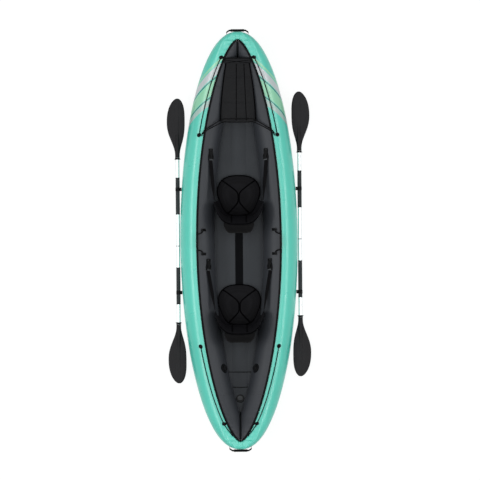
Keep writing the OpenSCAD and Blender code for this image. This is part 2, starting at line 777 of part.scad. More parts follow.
module front_seat_pad() {
    color("black") seat_pad(front_seat_y);
}

module rear_seat_pad() {
    color("black") seat_pad(rear_seat_y);
}

// Backrest: hinged along its lower edge at the rear of the pad, with wings that curl forwards
back_hinge_z = pad_base_z + pad_height * 0.42;
back_hinge_y = -pad_length / 2 - 5.5;
function back_width(t) =
    0.53 * back_half + 0.47 * back_half * pow(sin(90 * min(1, t / 0.55)), 1.5)
        - 0.24 * back_half * pow(max(0, t - 0.68) / 0.32, 2);
function back_curl(x, t) = wing_forward * pow(abs(x) / back_half, wing_power) * ease(0.1 + 1.8 * t);
function back_point(x, t, side) =
    let (slope = wing_power * wing_forward / back_half * pow(abs(x) / back_half, wing_power - 1))
    let (rim = (1 - pow(abs(x) / back_width(t), 4)) * (1 - pow(abs(2 * t - 1), 5)))
    let (seam = side > 0 ? seam_depth * rim * exp(-pow((abs(x) - 0.3 * back_half) / 12, 2)) : 0)
    let (depth = (5 + (back_thickness / 2 - 5) * rim - seam) * sqrt(1 + slope * slope))
    let (z = t * back_height * (1 - 0.06 * pow(abs(x) / back_half, 2)))
    [x, back_curl(x, t) - tan(back_lean) * z + side * depth, z];
function back_grid(side) =
    let (rows = 10, columns = 20)
    [for (i = [0:rows])
        let (t = i / rows)
        [for (j = [0:columns])
            let (s = sin(90 * (2 * j / columns - 1))) back_point(s * back_width(t), t, side)]];

module at_back_hinge(seat_y) {
    translate([0, seat_y + back_hinge_y, back_hinge_z]) children();
}

module front_backrest() {
    color("black") at_back_hinge(front_seat_y) slab(back_grid(1), back_grid(-1));
}

module rear_backrest() {
    color("black") at_back_hinge(rear_seat_y) slab(back_grid(1), back_grid(-1));
}

// Pouch: a soft pocket that bulges from the rear of the backrest
function pouch_grid(share) =
    let (rows = 8, columns = 12, low = 0.28, high = 0.96)
    [for (i = [0:rows])
        let (v = i / rows, t = mix(low, high, v))
        [for (j = [0:columns])
            let (s = sin(90 * (2 * j / columns - 1)))
            let (p = back_point(s * pouch_half, t, -1))
            let (swell = pow(1 - pow(abs(s), 3), 0.6) * pow(sin(180 * pow(v, 0.8)), 0.6))
            let (bulge = 6 + (pouch_depth - 6) * swell)
            p - [0, 4 * seat_gap + share * bulge + share * pow(abs(s), 2) * back_curl(pouch_half, t), 0]]];

module front_pouch() {
    color("black") at_back_hinge(front_seat_y) slab(pouch_grid(0), pouch_grid(1));
}

module rear_pouch() {
    color("black") at_back_hinge(rear_seat_y) slab(pouch_grid(0), pouch_grid(1));
}

// Straps from the wings forward to the buckles on the tubes
strap_t = 0.6;
strap_room = 2.48;
function strap_end(seat_y) =
    let (p = back_point(back_width(strap_t), strap_t, 1))
    [p.x - strap_thickness, p.y + seat_y + back_hinge_y + 2, p.z + back_hinge_z];
function buckle_end(x, y) = [x, y - buckle_length / 2 - strap_room, skin_z(x, y) + buckle_height / 2 + 2];
function strap_path(seat_y, x, y) =
    let (a = buckle_end(x, y), b = strap_end(seat_y), steps = 8)
    [for (k = [0:steps]) let (t = k / steps) mix(a, b, t) - [0, 0, strap_sag * sin(180 * t)]];

module seat_straps(seat_y, x, y) {
    path = strap_path(seat_y, x, y);
    turn = [for (k = [0:len(path) - 1]) ease((k / (len(path) - 1) - 0.5) * 2)];
    tilt = atan(slope_x(x, y));
    across = [for (t = turn) let (a = mix(tilt, 80, t)) [cos(a), 0, sin(a)]];
    both_sides() loft(band_rings(path, across, strap_width, strap_thickness));
}

module front_seat_straps() {
    color("black") seat_straps(front_seat_y, front_buckle_x, front_buckle_y);
}

module rear_seat_straps() {
    color("black") seat_straps(rear_seat_y, rear_buckle_x, rear_buckle_y);
}

// Buckle: a side-release body with its two prong windows, and a slotted bar for the strap
module buckle() {
    body_l = buckle_length * 0.62;
    bar = 7;
    slot = strap_thickness * 2.6;
    window = buckle_width * 0.16;
    shoulder = buckle_width * 0.36;
    difference() {
        translate([0, -buckle_length / 2, 0]) linear_extrude(buckle_height) polygon([
            [-buckle_width / 2, 0], [buckle_width / 2, 0], [buckle_width / 2, body_l * 0.6],
            [shoulder, body_l], [shoulder, buckle_length], [-shoulder, buckle_length],
            [-shoulder, body_l], [-buckle_width / 2, body_l * 0.6]]);
        translate([-strap_width / 2 - 1, -buckle_length / 2 + bar, -1])
            cube([strap_width + 2, slot, buckle_height + 2]);
        translate([-shoulder + 4, buckle_length / 2 - bar - slot, -1])
            cube([2 * shoulder - 8, slot, buckle_height + 2]);
        for (s = [-1, 1])
            translate([s * buckle_width * 0.3 - window / 2, 2 * bar + slot - buckle_length / 2,
                buckle_height * 0.4])
                cube([window, body_l * 0.4, buckle_height]);
    }
}

module front_buckles() {
    color("black") both_sides() on_skin(front_buckle_x, front_buckle_y) buckle();
}

module rear_buckles() {
    color("black") both_sides() on_skin(rear_buckle_x, rear_buckle_y) buckle();
}

// Paddles: each along Y beside the hull, in two clips at the tube's widest line
paddle_half = paddle_length / 2;
paddle_x = beam + paddle_gap + grip_d / 2;
paddle_z = tube_z(0);
throat = paddle_half - blade_length;
socket_depth = 52;
socket_d = shaft_d + 7;
shaft_end = throat + socket_depth - 4;
shaft_bore = shaft_d - 2 * shaft_wall;
button_y = sleeve_length / 4;

// Reach of the blade's edges from the shaft axis at a distance from its tip
function broad_edge(s) =
    let (peak = blade_length * 0.42, root = socket_d / 2)
    s > blade_length ? root : s < peak ? blade_broad * pow(1 - pow(1 - s / peak, 2.2), 0.6)
             : let (run = pow((s - peak) / (blade_length - peak), 1.15))
               root + (blade_broad - root) * (1 + cos(180 * run)) / 2;
function narrow_edge(s) =
    let (peak = blade_length * 0.36, root = socket_d / 2)
    s > blade_length ? root : s < peak ? blade_narrow * pow(1 - pow(1 - s / peak, 2.6), 0.5)
             : let (run = pow((s - peak) / (blade_length - peak), 1.6))
               root + (blade_narrow - root) * (1 + cos(180 * run)) / 2;
// Section of the blade, which swells from a thin dished plate with a spine into its round socket
function blade_ring(s) =
    let (edge_t = 1.6, fall = 5, y = paddle_half - s, f = min(1, s / blade_length))
    let (swell = ease((f - 0.55) / 0.32), root = socket_d / 2, o = broad_edge(s), i = narrow_edge(s))
    let (lift = 10 * pow(1 - f, 2), low = lift - fall * (1 - swell))
    let (c = min(mix(12, root, swell), 0.72 * min(o, i) + 0.28 * root * swell))
    let (up = mix(3.4, root, swell), down = mix(2.4, root, swell))
    concat([[o, y, low + edge_t]],
        [for (a = [30:30:150]) [c * cos(a), y, lift + up * sin(a)]],
        [[-i, y, low + edge_t], [-i, y, low - edge_t]],
        [for (a = [210:30:330]) [c * cos(a), y, lift + down * sin(a)]],
        [[o, y, low - edge_t]]);

// Blade with the broad side outboard, pointing to +Y
module blade() {
    shares = [0.006, 0.02, 0.05, 0.1, 0.17, 0.26, 0.36, 0.46, 0.55, 0.63, 0.71, 0.79, 0.87, 0.94, 1];
    lengths = concat([blade_length + socket_out], [for (f = reversed(shares)) f * blade_length]);
    difference() {
        loft([for (l = lengths) blade_ring(l)]);
        translate([0, throat - socket_out - 1, 0]) rotate([-90, 0, 0])
            cylinder(h = socket_out + 1 + socket_depth - 3, d = shaft_d + 2 * turn_clearance);
    }
}

module drip_ring() {
    bore_r = shaft_d / 2 + turn_clearance;
    hub = 4;
    lip = 3;
    translate([0, throat - socket_out - ring_gap - 8, 0]) rotate([90, 0, 0]) rotate_extrude()
        polygon([[bore_r, -8], [bore_r + hub, -8], [bore_r + hub, -2], [ring_d / 2 - lip, 3], [ring_d / 2, 3],
            [ring_d / 2, 6], [ring_d / 2 - lip, 6], [bore_r + hub, 2], [bore_r + hub, 8], [bore_r, 8]]);
}

module grip() {
    bore_r = shaft_d / 2 + turn_clearance;
    out_r = grip_d / 2;
    bevel = 1;
    translate([0, paddle_half - grip_start, 0]) rotate([90, 0, 0]) rotate_extrude()
        polygon([[bore_r, 0], [out_r - bevel, 0], [out_r, 3], [out_r, grip_length - 3],
            [out_r - bevel, grip_length], [bore_r, grip_length]]);
}

module shaft_tube() {
    translate([0, seat_gap / 2, 0]) rotate([-90, 0, 0]) difference() {
        cylinder(h = shaft_end, d = shaft_d);
        translate([0, 0, -1]) cylinder(h = shaft_end + 2, d = shaft_bore);
    }
}

// Shaft half that turns on the sleeve, with a slot for the button over the feather angle
module slotted_shaft() {
    reach = feather_angle + asin((button_d + 1) / shaft_d);
    slot = button_d + 1;
    difference() {
        shaft_tube();
        translate([0, button_y + slot / 2, 0]) rotate([90, 0, 0]) rotate([0, 0, 90 - reach])
            rotate_extrude(angle = 2 * reach) translate([shaft_bore / 2 - 1, 0])
                square([shaft_wall + 2, slot]);
    }
}

module sleeve() {
    sleeve_d = shaft_bore - 2 * turn_clearance;
    translate([0, -sleeve_length / 2, 0]) rotate([-90, 0, 0]) difference() {
        cylinder(h = sleeve_length, d = sleeve_d);
        translate([0, 0, -1]) cylinder(h = sleeve_length + 2, d = sleeve_d - 4);
        translate([0, 0, sleeve_length / 2 - button_y]) rotate([90, 0, 0])
            cylinder(h = sleeve_d, d = button_d + 2 * turn_clearance);
    }
}

module button() {
    foot_z = shaft_bore / 2 - 6;
    translate([0, -button_y, 0]) {
        translate([0, 0, foot_z]) cylinder(h = shaft_d / 2 + button_proud - foot_z - 1, d = button_d);
        translate([0, 0, shaft_d / 2 + button_proud - 1]) cylinder(h = 1, d1 = button_d, d2 = button_d - 2);
        translate([0, 0, foot_z]) cylinder(h = 2, d = button_d + 3);
    }
}

// Children placed as the right paddle, or mirrored as the left one
module at_right() {
    translate([paddle_x, paddle_shift, paddle_z]) children();
}

module at_left() {
    mirror([1, 0, 0]) translate([paddle_x, 0, paddle_z]) children();
}

module turned() {
    mirror([0, 1, 0]) children();
}

module right_front_shaft() {
    color("silver") at_right() shaft_tube();
}

module right_front_blade() {
    color("black") at_right() blade();
}

module right_front_grip() {
    color("dimgray") at_right() grip();
}

module right_front_drip_ring() {
    color("black") at_right() drip_ring();
}

module right_sleeve() {
    color("gray") at_right() sleeve();
}

module right_button() {
    color("gray") at_right() button();
}

module right_rear_shaft() {
    color("silver") at_right() turned() slotted_shaft();
}

module right_rear_blade() {
    color("black") at_right() turned() blade();
}

module right_rear_grip() {
    color("dimgray") at_right() turned() grip();
}

module right_rear_drip_ring() {
    color("black") at_right() turned() drip_ring();
}

module left_front_shaft() {
    color("silver") at_left() shaft_tube();
}

module left_front_blade() {
    color("black") at_left() blade();
}

module left_front_grip() {
    color("dimgray") at_left() grip();
}

module left_front_drip_ring() {
    color("black") at_left() drip_ring();
}

module left_sleeve() {
    color("gray") at_left() sleeve();
}

module left_button() {
    color("gray") at_left() button();
}

module left_rear_shaft() {
    color("silver") at_left() turned() slotted_shaft();
}

module left_rear_blade() {
    color("black") at_left() turned() blade();
}

module left_rear_grip() {
    color("dimgray") at_left() turned() grip();
}

module left_rear_drip_ring() {
    color("black") at_left() turned() drip_ring();
}

// Clips: spring collars open outboard, on pads against the tubes
module paddle_clip() {
    bore_r = grip_d / 2 + clip_clearance;
    out_r = bore_r + clip_wall;
    mouth = bore_r * 0.8;
    pad_h = 44;
    hull_x = half_width(clip_y - clip_length / 2) + seat_gap;
    translate([paddle_x, 0, paddle_z]) difference() {
        union() {
            rotate([90, 0, 0]) cylinder(h = clip_length, r = out_r, center = true);
            translate([hull_x - paddle_x, -clip_length / 2, -pad_h / 2])
                cube([paddle_x - hull_x - bore_r - 1, clip_length, pad_h]);
        }
        rotate([90, 0, 0]) cylinder(h = clip_length + 2, r = bore_r, center = true);
        translate([0, -clip_length / 2 - 1, -mouth]) cube([out_r + 1, clip_length + 2, 2 * mouth]);
    }
}

module paddle_clips() {
    color("black") both_sides() both_ends() translate([0, clip_y, 0]) paddle_clip();
}

right_outer_panel();
left_outer_panel();
right_inner_panel();
left_inner_panel();
floor_chamber();
end_floor_panels();
floor_strip();
hem_piping();
bow_cord_tabs();
stern_cord_tabs();
bow_cords();
stern_cords();
bow_bag();
bow_handle_web();
bow_handle_grip();
stern_handle_web();
stern_handle_grip();
side_handle_tabs();
right_handle_rope();
right_handle_grip();
left_handle_rope();
left_handle_grip();
valve_bodies();
right_valve_cap();
left_valve_cap();
drain_body();
drain_cap();
front_seat_pad();
front_backrest();
front_pouch();
front_seat_straps();
front_buckles();
rear_seat_pad();
rear_backrest();
rear_pouch();
rear_seat_straps();
rear_buckles();
right_front_shaft();
right_front_blade();
right_front_grip();
right_front_drip_ring();
right_sleeve();
right_button();
right_rear_shaft();
right_rear_blade();
right_rear_grip();
right_rear_drip_ring();
left_front_shaft();
left_front_blade();
left_front_grip();
left_front_drip_ring();
left_sleeve();
left_button();
left_rear_shaft();
left_rear_blade();
left_rear_grip();
left_rear_drip_ring();
paddle_clips();
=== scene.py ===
"""Inflatable tandem kayak with two seats and two clipped paddles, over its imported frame."""

import logging
import math
from dataclasses import dataclass
from enum import Enum
from typing import Callable, Sequence

import bpy
from bpy.types import Material, Node, NodeSocket, NodeTree, Object
from mathutils import Matrix, Vector, noise
from mathutils.bvhtree import BVHTree


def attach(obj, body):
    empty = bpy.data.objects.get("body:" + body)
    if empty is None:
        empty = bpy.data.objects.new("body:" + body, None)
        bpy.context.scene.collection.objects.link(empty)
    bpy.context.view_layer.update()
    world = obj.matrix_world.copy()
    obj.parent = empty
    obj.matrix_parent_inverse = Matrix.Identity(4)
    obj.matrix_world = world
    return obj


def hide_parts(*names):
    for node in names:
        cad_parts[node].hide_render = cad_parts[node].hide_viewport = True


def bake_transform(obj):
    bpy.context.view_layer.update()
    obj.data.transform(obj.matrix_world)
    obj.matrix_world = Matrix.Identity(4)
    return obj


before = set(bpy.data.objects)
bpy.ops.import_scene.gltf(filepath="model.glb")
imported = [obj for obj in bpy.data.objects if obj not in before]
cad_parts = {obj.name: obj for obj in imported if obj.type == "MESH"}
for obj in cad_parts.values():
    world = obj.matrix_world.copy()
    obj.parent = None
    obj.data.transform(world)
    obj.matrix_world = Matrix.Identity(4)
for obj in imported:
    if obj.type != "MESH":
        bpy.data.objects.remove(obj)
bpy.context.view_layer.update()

MM = 0.001
WELD_GAP = 2e-5
SMOOTH_ANGLE = math.radians(50)
TURN_SIDES = 32
CUSHION_VOXEL = 6
SWELL_FRAMES = 20
X_AXIS, Y_AXIS, Z_AXIS = Vector((1, 0, 0)), Vector((0, 1, 0)), Vector((0, 0, 1))
DOWN = Vector((0, 0, -1))
LOG = logging.getLogger("kayak")
Rows = list[list[Vector]]
Radius = Callable[[float, float], float]


def other_side(points: Sequence[Vector]) -> list[Vector]:
    """Points mirrored to the other side of the hull."""
    return [Vector((-p.x, p.y, p.z)) for p in points]


def other_end(points: Sequence[Vector]) -> list[Vector]:
    """Points mirrored to the other end of the hull."""
    return [Vector((p.x, -p.y, p.z)) for p in points]


class Direction(Enum):
    """A way from the middle, whose value is a sign."""

    @property
    def label(self) -> str:
        """Name of the direction in the names of pieces."""
        return self.name.lower()


class Side(Direction):
    """Side of the hull, as the sign of X."""

    RIGHT = 1
    LEFT = -1

    def turned(self, rows: Rows) -> Rows:
        """Rows made for the right side, put on this one."""
        return rows if self is Side.RIGHT else [other_side(row) for row in rows]


class End(Direction):
    """End of the hull or of a paddle, as the sign of Y."""

    BOW = 1
    STERN = -1

    def turned(self, rows: Rows) -> Rows:
        """Rows made for the bow, put at this end."""
        return rows if self is End.BOW else [other_end(row) for row in rows]


class Coords(Enum):
    """Coordinates that a pattern follows."""

    OBJECT = "Object"
    UV = "UV"


def ease(t: float) -> float:
    """Smooth step from 0 to 1."""
    c = max(0.0, min(1.0, t))
    return c * c * (3 - 2 * c)


def mix(a: float, b: float, t: float) -> float:
    """Value between a and b at share t."""
    return a + (b - a) * t


def signed_power(value: float, power: float) -> float:
    """Power of a value's size, with its sign kept."""
    return math.copysign(abs(value) ** power, value)


def sin_deg(angle: float) -> float:
    """Sine of an angle in degrees."""
    return math.sin(math.radians(angle))


def cos_deg(angle: float) -> float:
    """Cosine of an angle in degrees."""
    return math.cos(math.radians(angle))


def spread(start: float, end: float, steps: int) -> list[float]:
    """Even steps from a start to an end."""
    return [mix(start, end, k / steps) for k in range(steps + 1)]


def fan(half: float, steps: int) -> list[float]:
    """Even steps from -half to half, with a number of them on each side of the middle."""
    return [half * (k / steps - 1) for k in range(2 * steps + 1)]


def bunched(half: float, steps: int) -> list[float]:
    """Steps from -half to half that draw closer towards both ends."""
    return [half * sin_deg(180 * k / steps - 90) for k in range(steps + 1)]


def linear(colour: str) -> tuple[float, float, float, float]:
    """Turn an sRGB hex colour into linear RGBA.

    Args:
        colour: six hex digits after a hash.

    Returns:
        Red, green and blue in linear light, and an alpha of 1.
    """
    parts = [int(colour[i : i + 2], 16) / 255 for i in (1, 3, 5)]
    red, green, blue = (p / 12.92 if p <= 0.04045 else ((p + 0.055) / 1.055) ** 2.4
                        for p in parts)
    return red, green, blue, 1.0


def add(tree: NodeTree, kind: str, settings: dict | None = None,
        sockets: dict | None = None) -> Node:
    """Add a node with its settings, and fill or link its sockets.

    Args:
        tree: node tree that takes the node.
        kind: type name of the node.
        settings: properties to set on it.
        sockets: input name or number to a value, or to an output to link from.

    Returns:
        The new node.
    """
    node = tree.nodes.new(kind)
    for name, value in (settings or {}).items():
        setattr(node, name, value)
    for key, value in (sockets or {}).items():
        if isinstance(value, NodeSocket):
            tree.links.new(value, node.inputs[key])
        else:
            node.inputs[key].default_value = value
    return node


def calc(tree: NodeTree, operation: str, *values: float | NodeSocket) -> NodeSocket:
    """Add a math node and return its result."""
    return add(tree, "ShaderNodeMath", {"operation": operation},
               dict(enumerate(values))).outputs[0]


def cloud(tree: NodeTree, vector: NodeSocket, size_mm: float, detail: float,
          distortion: float = 0.0) -> NodeSocket:
    """Add noise with patches of a size and return its value."""
    return add(tree, "ShaderNodeTexNoise", None,
               {"Vector": vector, "Scale": 1 / (size_mm * MM), "Detail": detail,
                "Distortion": distortion}).outputs[0]


def tones(tree: NodeTree, share: float | NodeSocket, low: object, high: object,
          mode: str = "MIX") -> NodeSocket:
    """Mix two colours by a share and return the colour."""
    return add(tree, "ShaderNodeMix", {"data_type": "RGBA", "blend_type": mode},
               {0: share, 6: low, 7: high}).outputs[2]


def ranged(tree: NodeTree, share: NodeSocket, low: float, high: float) -> NodeSocket:
    """Stretch a share over a range and return the value."""
    return add(tree, "ShaderNodeMapRange", None,
               {"Value": share, "To Min": low, "To Max": high}).outputs[0]


def relief(tree: NodeTree, height: NodeSocket, strength: float, depth_mm: float,
           below: NodeSocket | None = None) -> NodeSocket:
    """Add a bump, over another one where there is one, and return its normal."""
    sockets = {"Height": height, "Strength": strength, "Distance": depth_mm * MM}
    if below is not None:
        sockets["Normal"] = below
    return add(tree, "ShaderNodeBump", None, sockets).outputs[0]


@dataclass(frozen=True)
class Finish:
    """A surface of two close tones in soft patches."""

    name: str
    colour: str
    tone: str
    roughness: float
    patch_mm: float = 160.0
    grit_mm: float = 4.0
    relief_mm: float = 0.3
    gloss: float = 0.25
    polish: float = 0.06
    scuff: float = 0.06

    def material(self) -> Material:
        """Return the finish's material, made on first use."""
        found = bpy.data.materials.get(self.name)
        if found is None:
            found = bpy.data.materials.new(self.name)
            found.use_nodes = True
            shader = found.node_tree.nodes["Principled BSDF"]
            shader.inputs["Specular IOR Level"].default_value = self.gloss
            self.paint(found.node_tree, shader)
        return found

    def dress(self, obj: Object) -> None:
        """Put the material on all of an object."""
        obj.data.materials.clear()
        obj.data.materials.append(self.material())

    def patches(self, tree: NodeTree, vector: NodeSocket) -> NodeSocket:
        """Mix the two tones in soft patches, and return the colour."""
        return tones(tree, cloud(tree, vector, self.patch_mm, 4.0),
                     linear(self.colour), linear(self.tone))

    def wear(self, tree: NodeTree, shader: Node, share: NodeSocket) -> None:
        """Vary the roughness by a share, from polished to scuffed."""
        rough = ranged(tree, share, self.roughness - self.polish, self.roughness + self.scuff)
        tree.links.new(rough, shader.inputs["Roughness"])

    def rubbed(self, tree: NodeTree, vector: NodeSocket) -> NodeSocket:
        """Share of wear in patches half the size of the colour's."""
        return cloud(tree, vector, self.patch_mm / 2, 3.0)

    def paint(self, tree: NodeTree, shader: Node) -> None:
        """Fill the node tree: patches of tone, varied roughness and a fine moulded grit.

        Args:
            tree: the material's nodes.
            shader: its Principled shader.
        """
        vector = add(tree, "ShaderNodeTexCoord").outputs["Object"]
        tree.links.new(self.patches(tree, vector), shader.inputs["Base Color"])
        self.wear(tree, shader, self.rubbed(tree, vector))
        grit = cloud(tree, vector, self.grit_mm, 2.0)
        tree.links.new(relief(tree, grit, 0.35, self.relief_mm), shader.inputs["Normal"])


@dataclass(frozen=True)
class Band:
    """A painted stripe that crosses the hull on a slant."""

    start_mm: float
    width_mm: float
    colour: str


@dataclass(frozen=True)
class CoatedCloth(Finish):
    """PVC-coated polyester: smooth satin skin with soft creases and a faint leathery grain."""

    polish: float = 0.08
    scuff: float = 0.08
    crease_mm: float = 110.0
    crease_depth_mm: float = 4.0
    bands: tuple[Band, ...] = ()
    band_sweep: float = 0.55
    band_rake: float = -0.6

    def paint(self, tree: NodeTree, shader: Node) -> None:
        """Fill the node tree: faded patches, creases, grain and slanted bands.

        Args:
            tree: the material's nodes.
            shader: its Principled shader.
        """
        vector = add(tree, "ShaderNodeTexCoord").outputs["Object"]
        colour = self.striped(tree, vector, self.patches(tree, vector))
        tree.links.new(colour, shader.inputs["Base Color"])
        self.wear(tree, shader, self.rubbed(tree, vector))
        crease = cloud(tree, vector, self.crease_mm, 2.0, distortion=0.6)
        grain = add(tree, "ShaderNodeTexVoronoi", {"feature": "SMOOTH_F1"},
                    {"Vector": vector, "Scale": 1 / (self.grit_mm * MM), "Smoothness": 0.6})
        soft = relief(tree, crease, 0.3, self.crease_depth_mm)
        skin = relief(tree, grain.outputs[0], 0.2, self.relief_mm, soft)
        tree.links.new(skin, shader.inputs["Normal"])

    def striped(self, tree: NodeTree, vector: NodeSocket, colour: NodeSocket) -> NodeSocket:
        """Lay the slanted bands over a colour.

        Args:
            tree: the material's nodes.
            vector: object coordinates in metres.
            colour: colour output below the bands.

        Returns:
            The colour output with the bands on it.
        """
        if not self.bands:
            return colour
        axes = add(tree, "ShaderNodeSeparateXYZ", None, {0: vector}).outputs
        out = calc(tree, "ABSOLUTE", axes[0])
        swept = calc(tree, "MULTIPLY_ADD", out, self.band_sweep, axes[1])
        slant = calc(tree, "MULTIPLY_ADD", axes[2], self.band_rake, swept)
        for band in self.bands:
            half = band.width_mm / 2
            inside = calc(tree, "COMPARE", slant, (band.start_mm + half) * MM, half * MM)
            colour = tones(tree, inside, colour, linear(band.colour))
        return colour


@dataclass(frozen=True)
class WovenCloth(Finish):
    """Woven polyester: crossed threads that catch the light, drawn coarse so that they show."""

    polish: float = 0.05
    scuff: float = 0.08
    thread_mm: float = 4.0
    thread_shade: float = 0.45
    coords: Coords = Coords.OBJECT
    sheen: float = 0.15

    def paint(self, tree: NodeTree, shader: Node) -> None:
        """Fill the node tree: crossed threads in colour and relief.

        Args:
            tree: the material's nodes.
            shader: its Principled shader.
        """
        source = add(tree, "ShaderNodeTexCoord").outputs
        axes = add(tree, "ShaderNodeSeparateXYZ", None, {0: source[self.coords.value]}).outputs
        turns = math.tau / (self.thread_mm * MM)
        waves = [calc(tree, "SINE", calc(tree, "MULTIPLY", axis, turns)) for axis in axes]
        cross = calc(tree, "ADD", calc(tree, "ADD", waves[0], waves[1]), waves[2])
        lift = add(tree, "ShaderNodeMapRange", None,
                   {"Value": cross, "From Min": -2.0, "From Max": 2.0}).outputs[0]
        base = self.patches(tree, source["Object"])
        threads = tones(tree, self.thread_shade, base, lift, "MULTIPLY")
        tree.links.new(threads, shader.inputs["Base Color"])
        self.wear(tree, shader, self.rubbed(tree, source["Object"]))
        tree.links.new(relief(tree, lift, 0.5, self.relief_mm), shader.inputs["Normal"])
        shader.inputs["Sheen Weight"].default_value = self.sheen
        shader.inputs["Sheen Roughness"].default_value = 0.5


@dataclass(frozen=True)
class BrushedMetal(Finish):
    """Aluminium or steel: bright, with fine drawn lines along Y."""

    polish: float = 0.1
    scuff: float = 0.1
    metallic: float = 1.0

    def paint(self, tree: NodeTree, shader: Node) -> None:
        """Fill the node tree: drawn lines along the tube in tone and roughness.

        Args:
            tree: the material's nodes.
            shader: its Principled shader.
        """
        vector = add(tree, "ShaderNodeTexCoord").outputs["Object"]
        drawn = add(tree, "ShaderNodeMapping", None,
                    {"Vector": vector, "Scale": (1.0, 0.02, 1.0)}).outputs[0]
        lines = cloud(tree, drawn, self.grit_mm, 2.0)
        tone = tones(tree, lines, linear(self.colour), linear(self.tone))
        tree.links.new(tone, shader.inputs["Base Color"])
        self.wear(tree, shader, lines)
        shader.inputs["Metallic"].default_value = self.metallic


# Teal PVC-coated polyester, calendered: satin, a little faded in patches
TEAL = CoatedCloth(
    "pvc_coated_polyester_teal", "#48c8b3", "#54d4c0", roughness=0.3, patch_mm=260.0, gloss=0.8,
    bands=(Band(1010, 46, "#a9c4bd"), Band(1062, 8, "#27433f"), Band(1076, 92, "#8fd6b0"),
           Band(1174, 8, "#27433f"), Band(1190, 60, "#c3ccce"), Band(1258, 22, "#8fd6b0")))
# Charcoal PVC-coated polyester of the inner tubes: satin with soft creases
CHARCOAL = CoatedCloth(
    "pvc_coated_polyester_charcoal", "#303337", "#373a3f", roughness=0.46, patch_mm=220.0)
# Floor PVC, the same cloth with a coarser non-slip grain
FLOOR = CoatedCloth(
    "pvc_coated_polyester_floor", "#2b2e32", "#313539", roughness=0.55, patch_mm=200.0,
    grit_mm=6.0, relief_mm=0.5, gloss=0.2)
# Black PVC of the hem, the seam tapes and the welded patches: moulded, with little gloss
HEM = CoatedCloth(
    "pvc_black_welded", "#050809", "#080c0d", roughness=0.45, patch_mm=90.0, gloss=0.07)
# Hook-and-loop tape: dense matt pile
STRIP = WovenCloth(
    "hook_and_loop_tape", "#08090b", "#0d0e11", roughness=0.95, patch_mm=40.0, gloss=0.08,
    thread_mm=5.0, sheen=0.08)
# Bag cloth: coated nylon, dark and slightly shiny on its folds
BAG = WovenCloth(
    "coated_nylon_black", "#0c0d0f", "#121316", roughness=0.6, patch_mm=120.0, gloss=0.14,
    thread_mm=6.0, sheen=0.02)
# Seat cloth: woven polyester over foam
SEAT = WovenCloth(
    "woven_polyester_black", "#161618", "#1d1d20", roughness=0.82, patch_mm=90.0, gloss=0.08,
    thread_mm=5.0, sheen=0.03)
# Backrest cloth: the same weave, with less gloss and no sheen
BACK = WovenCloth(
    "woven_polyester_back", "#17171a", "#1e1e21", roughness=0.85, patch_mm=90.0, gloss=0.03,
    thread_mm=5.0, sheen=0.0)
# Pouch: open polyester mesh, drawn as a coarse grid
MESH = WovenCloth(
    "polyester_mesh_black", "#0f0f10", "#161617", roughness=0.8, patch_mm=60.0, relief_mm=1.0,
    gloss=0.06, thread_mm=9.0, sheen=0.02)
# Seat and bag piping: smooth binding tape, near black; the same near-black cords also stand for
# painted shade along the flap's creases and along the pad's seams and sides
PIPING_AND_SHADE_CORDS = WovenCloth(
    "polyester_binding_tape", "#020203", "#050506", roughness=0.8, patch_mm=60.0, gloss=0.02,
    thread_mm=4.0, sheen=0.0)
# Webbing: ribbed polyester tape
WEBBING = WovenCloth(
    "polyester_webbing_black", "#08080a", "#0e0e10", roughness=0.78, patch_mm=50.0, gloss=0.07,
    thread_mm=4.0, coords=Coords.UV, sheen=0.02)
# Bungee: braided polypropylene sheath
BUNGEE = WovenCloth(
    "braided_polypropylene", "#060607", "#0c0c0e", roughness=0.66, patch_mm=40.0, gloss=0.07,
    thread_mm=5.0, coords=Coords.UV, sheen=0.02)
# Moulded nylon of tabs, clips and buckles: fine spark texture
NYLON = Finish(
    "moulded_nylon_black", "#090a0b", "#0f1011", roughness=0.5, patch_mm=40.0, grit_mm=1.6,
    relief_mm=0.15, gloss=0.08)
# Light moulded acetal of the buckle bars
ACETAL = Finish(
    "moulded_acetal_grey", "#424547", "#4f5254", roughness=0.45, patch_mm=40.0, grit_mm=1.6,
    relief_mm=0.12)
# Valve plastic: polypropylene, satin
VALVE = Finish(
    "moulded_polypropylene_black", "#0e0f11", "#151618", roughness=0.42, patch_mm=40.0,
    grit_mm=1.8, relief_mm=0.15, gloss=0.2)
# Drain cap: the same plastic, weathered to dark grey
CAP = Finish(
    "moulded_polypropylene_grey", "#2f3234", "#393c3e", roughness=0.5, patch_mm=40.0,
    grit_mm=1.8, relief_mm=0.15)
# Paddle blades: glass-filled polypropylene, matt with a faint flow grain
BLADE = Finish(
    "glass_filled_polypropylene", "#131315", "#1b1b1d", roughness=0.5, patch_mm=120.0,
    grit_mm=2.5, relief_mm=0.25, gloss=0.15)
# Paddle shaft: anodised aluminium tube, drawn along its length
SHAFT = BrushedMetal(
    "anodised_aluminium_silver", "#f0f4f5", "#e3e9ea", roughness=0.38, grit_mm=1.5, metallic=0.75)
# Sleeve inside the shaft: extruded grey nylon
SLEEVE = Finish(
    "extruded_nylon_grey", "#6f7477", "#7c8184", roughness=0.5, patch_mm=40.0, grit_mm=1.6,
    relief_mm=0.1)
# Spring button: polished stainless steel
STEEL = BrushedMetal(
    "stainless_steel_polished", "#c2c4c6", "#b1b4b6", roughness=0.28, grit_mm=0.8, gloss=0.5)
# Paddle grips: closed-cell foam rubber, matt and dimpled
FOAM = Finish(
    "closed_cell_foam_grey", "#323537", "#3d4142", roughness=0.85, patch_mm=60.0, grit_mm=3.0,
    relief_mm=0.5, gloss=0.15)
# Drip rings: soft rubber
RUBBER = Finish(
    "moulded_rubber_black", "#101113", "#18191b", roughness=0.7, patch_mm=40.0, grit_mm=2.0,
    relief_mm=0.15, gloss=0.15)


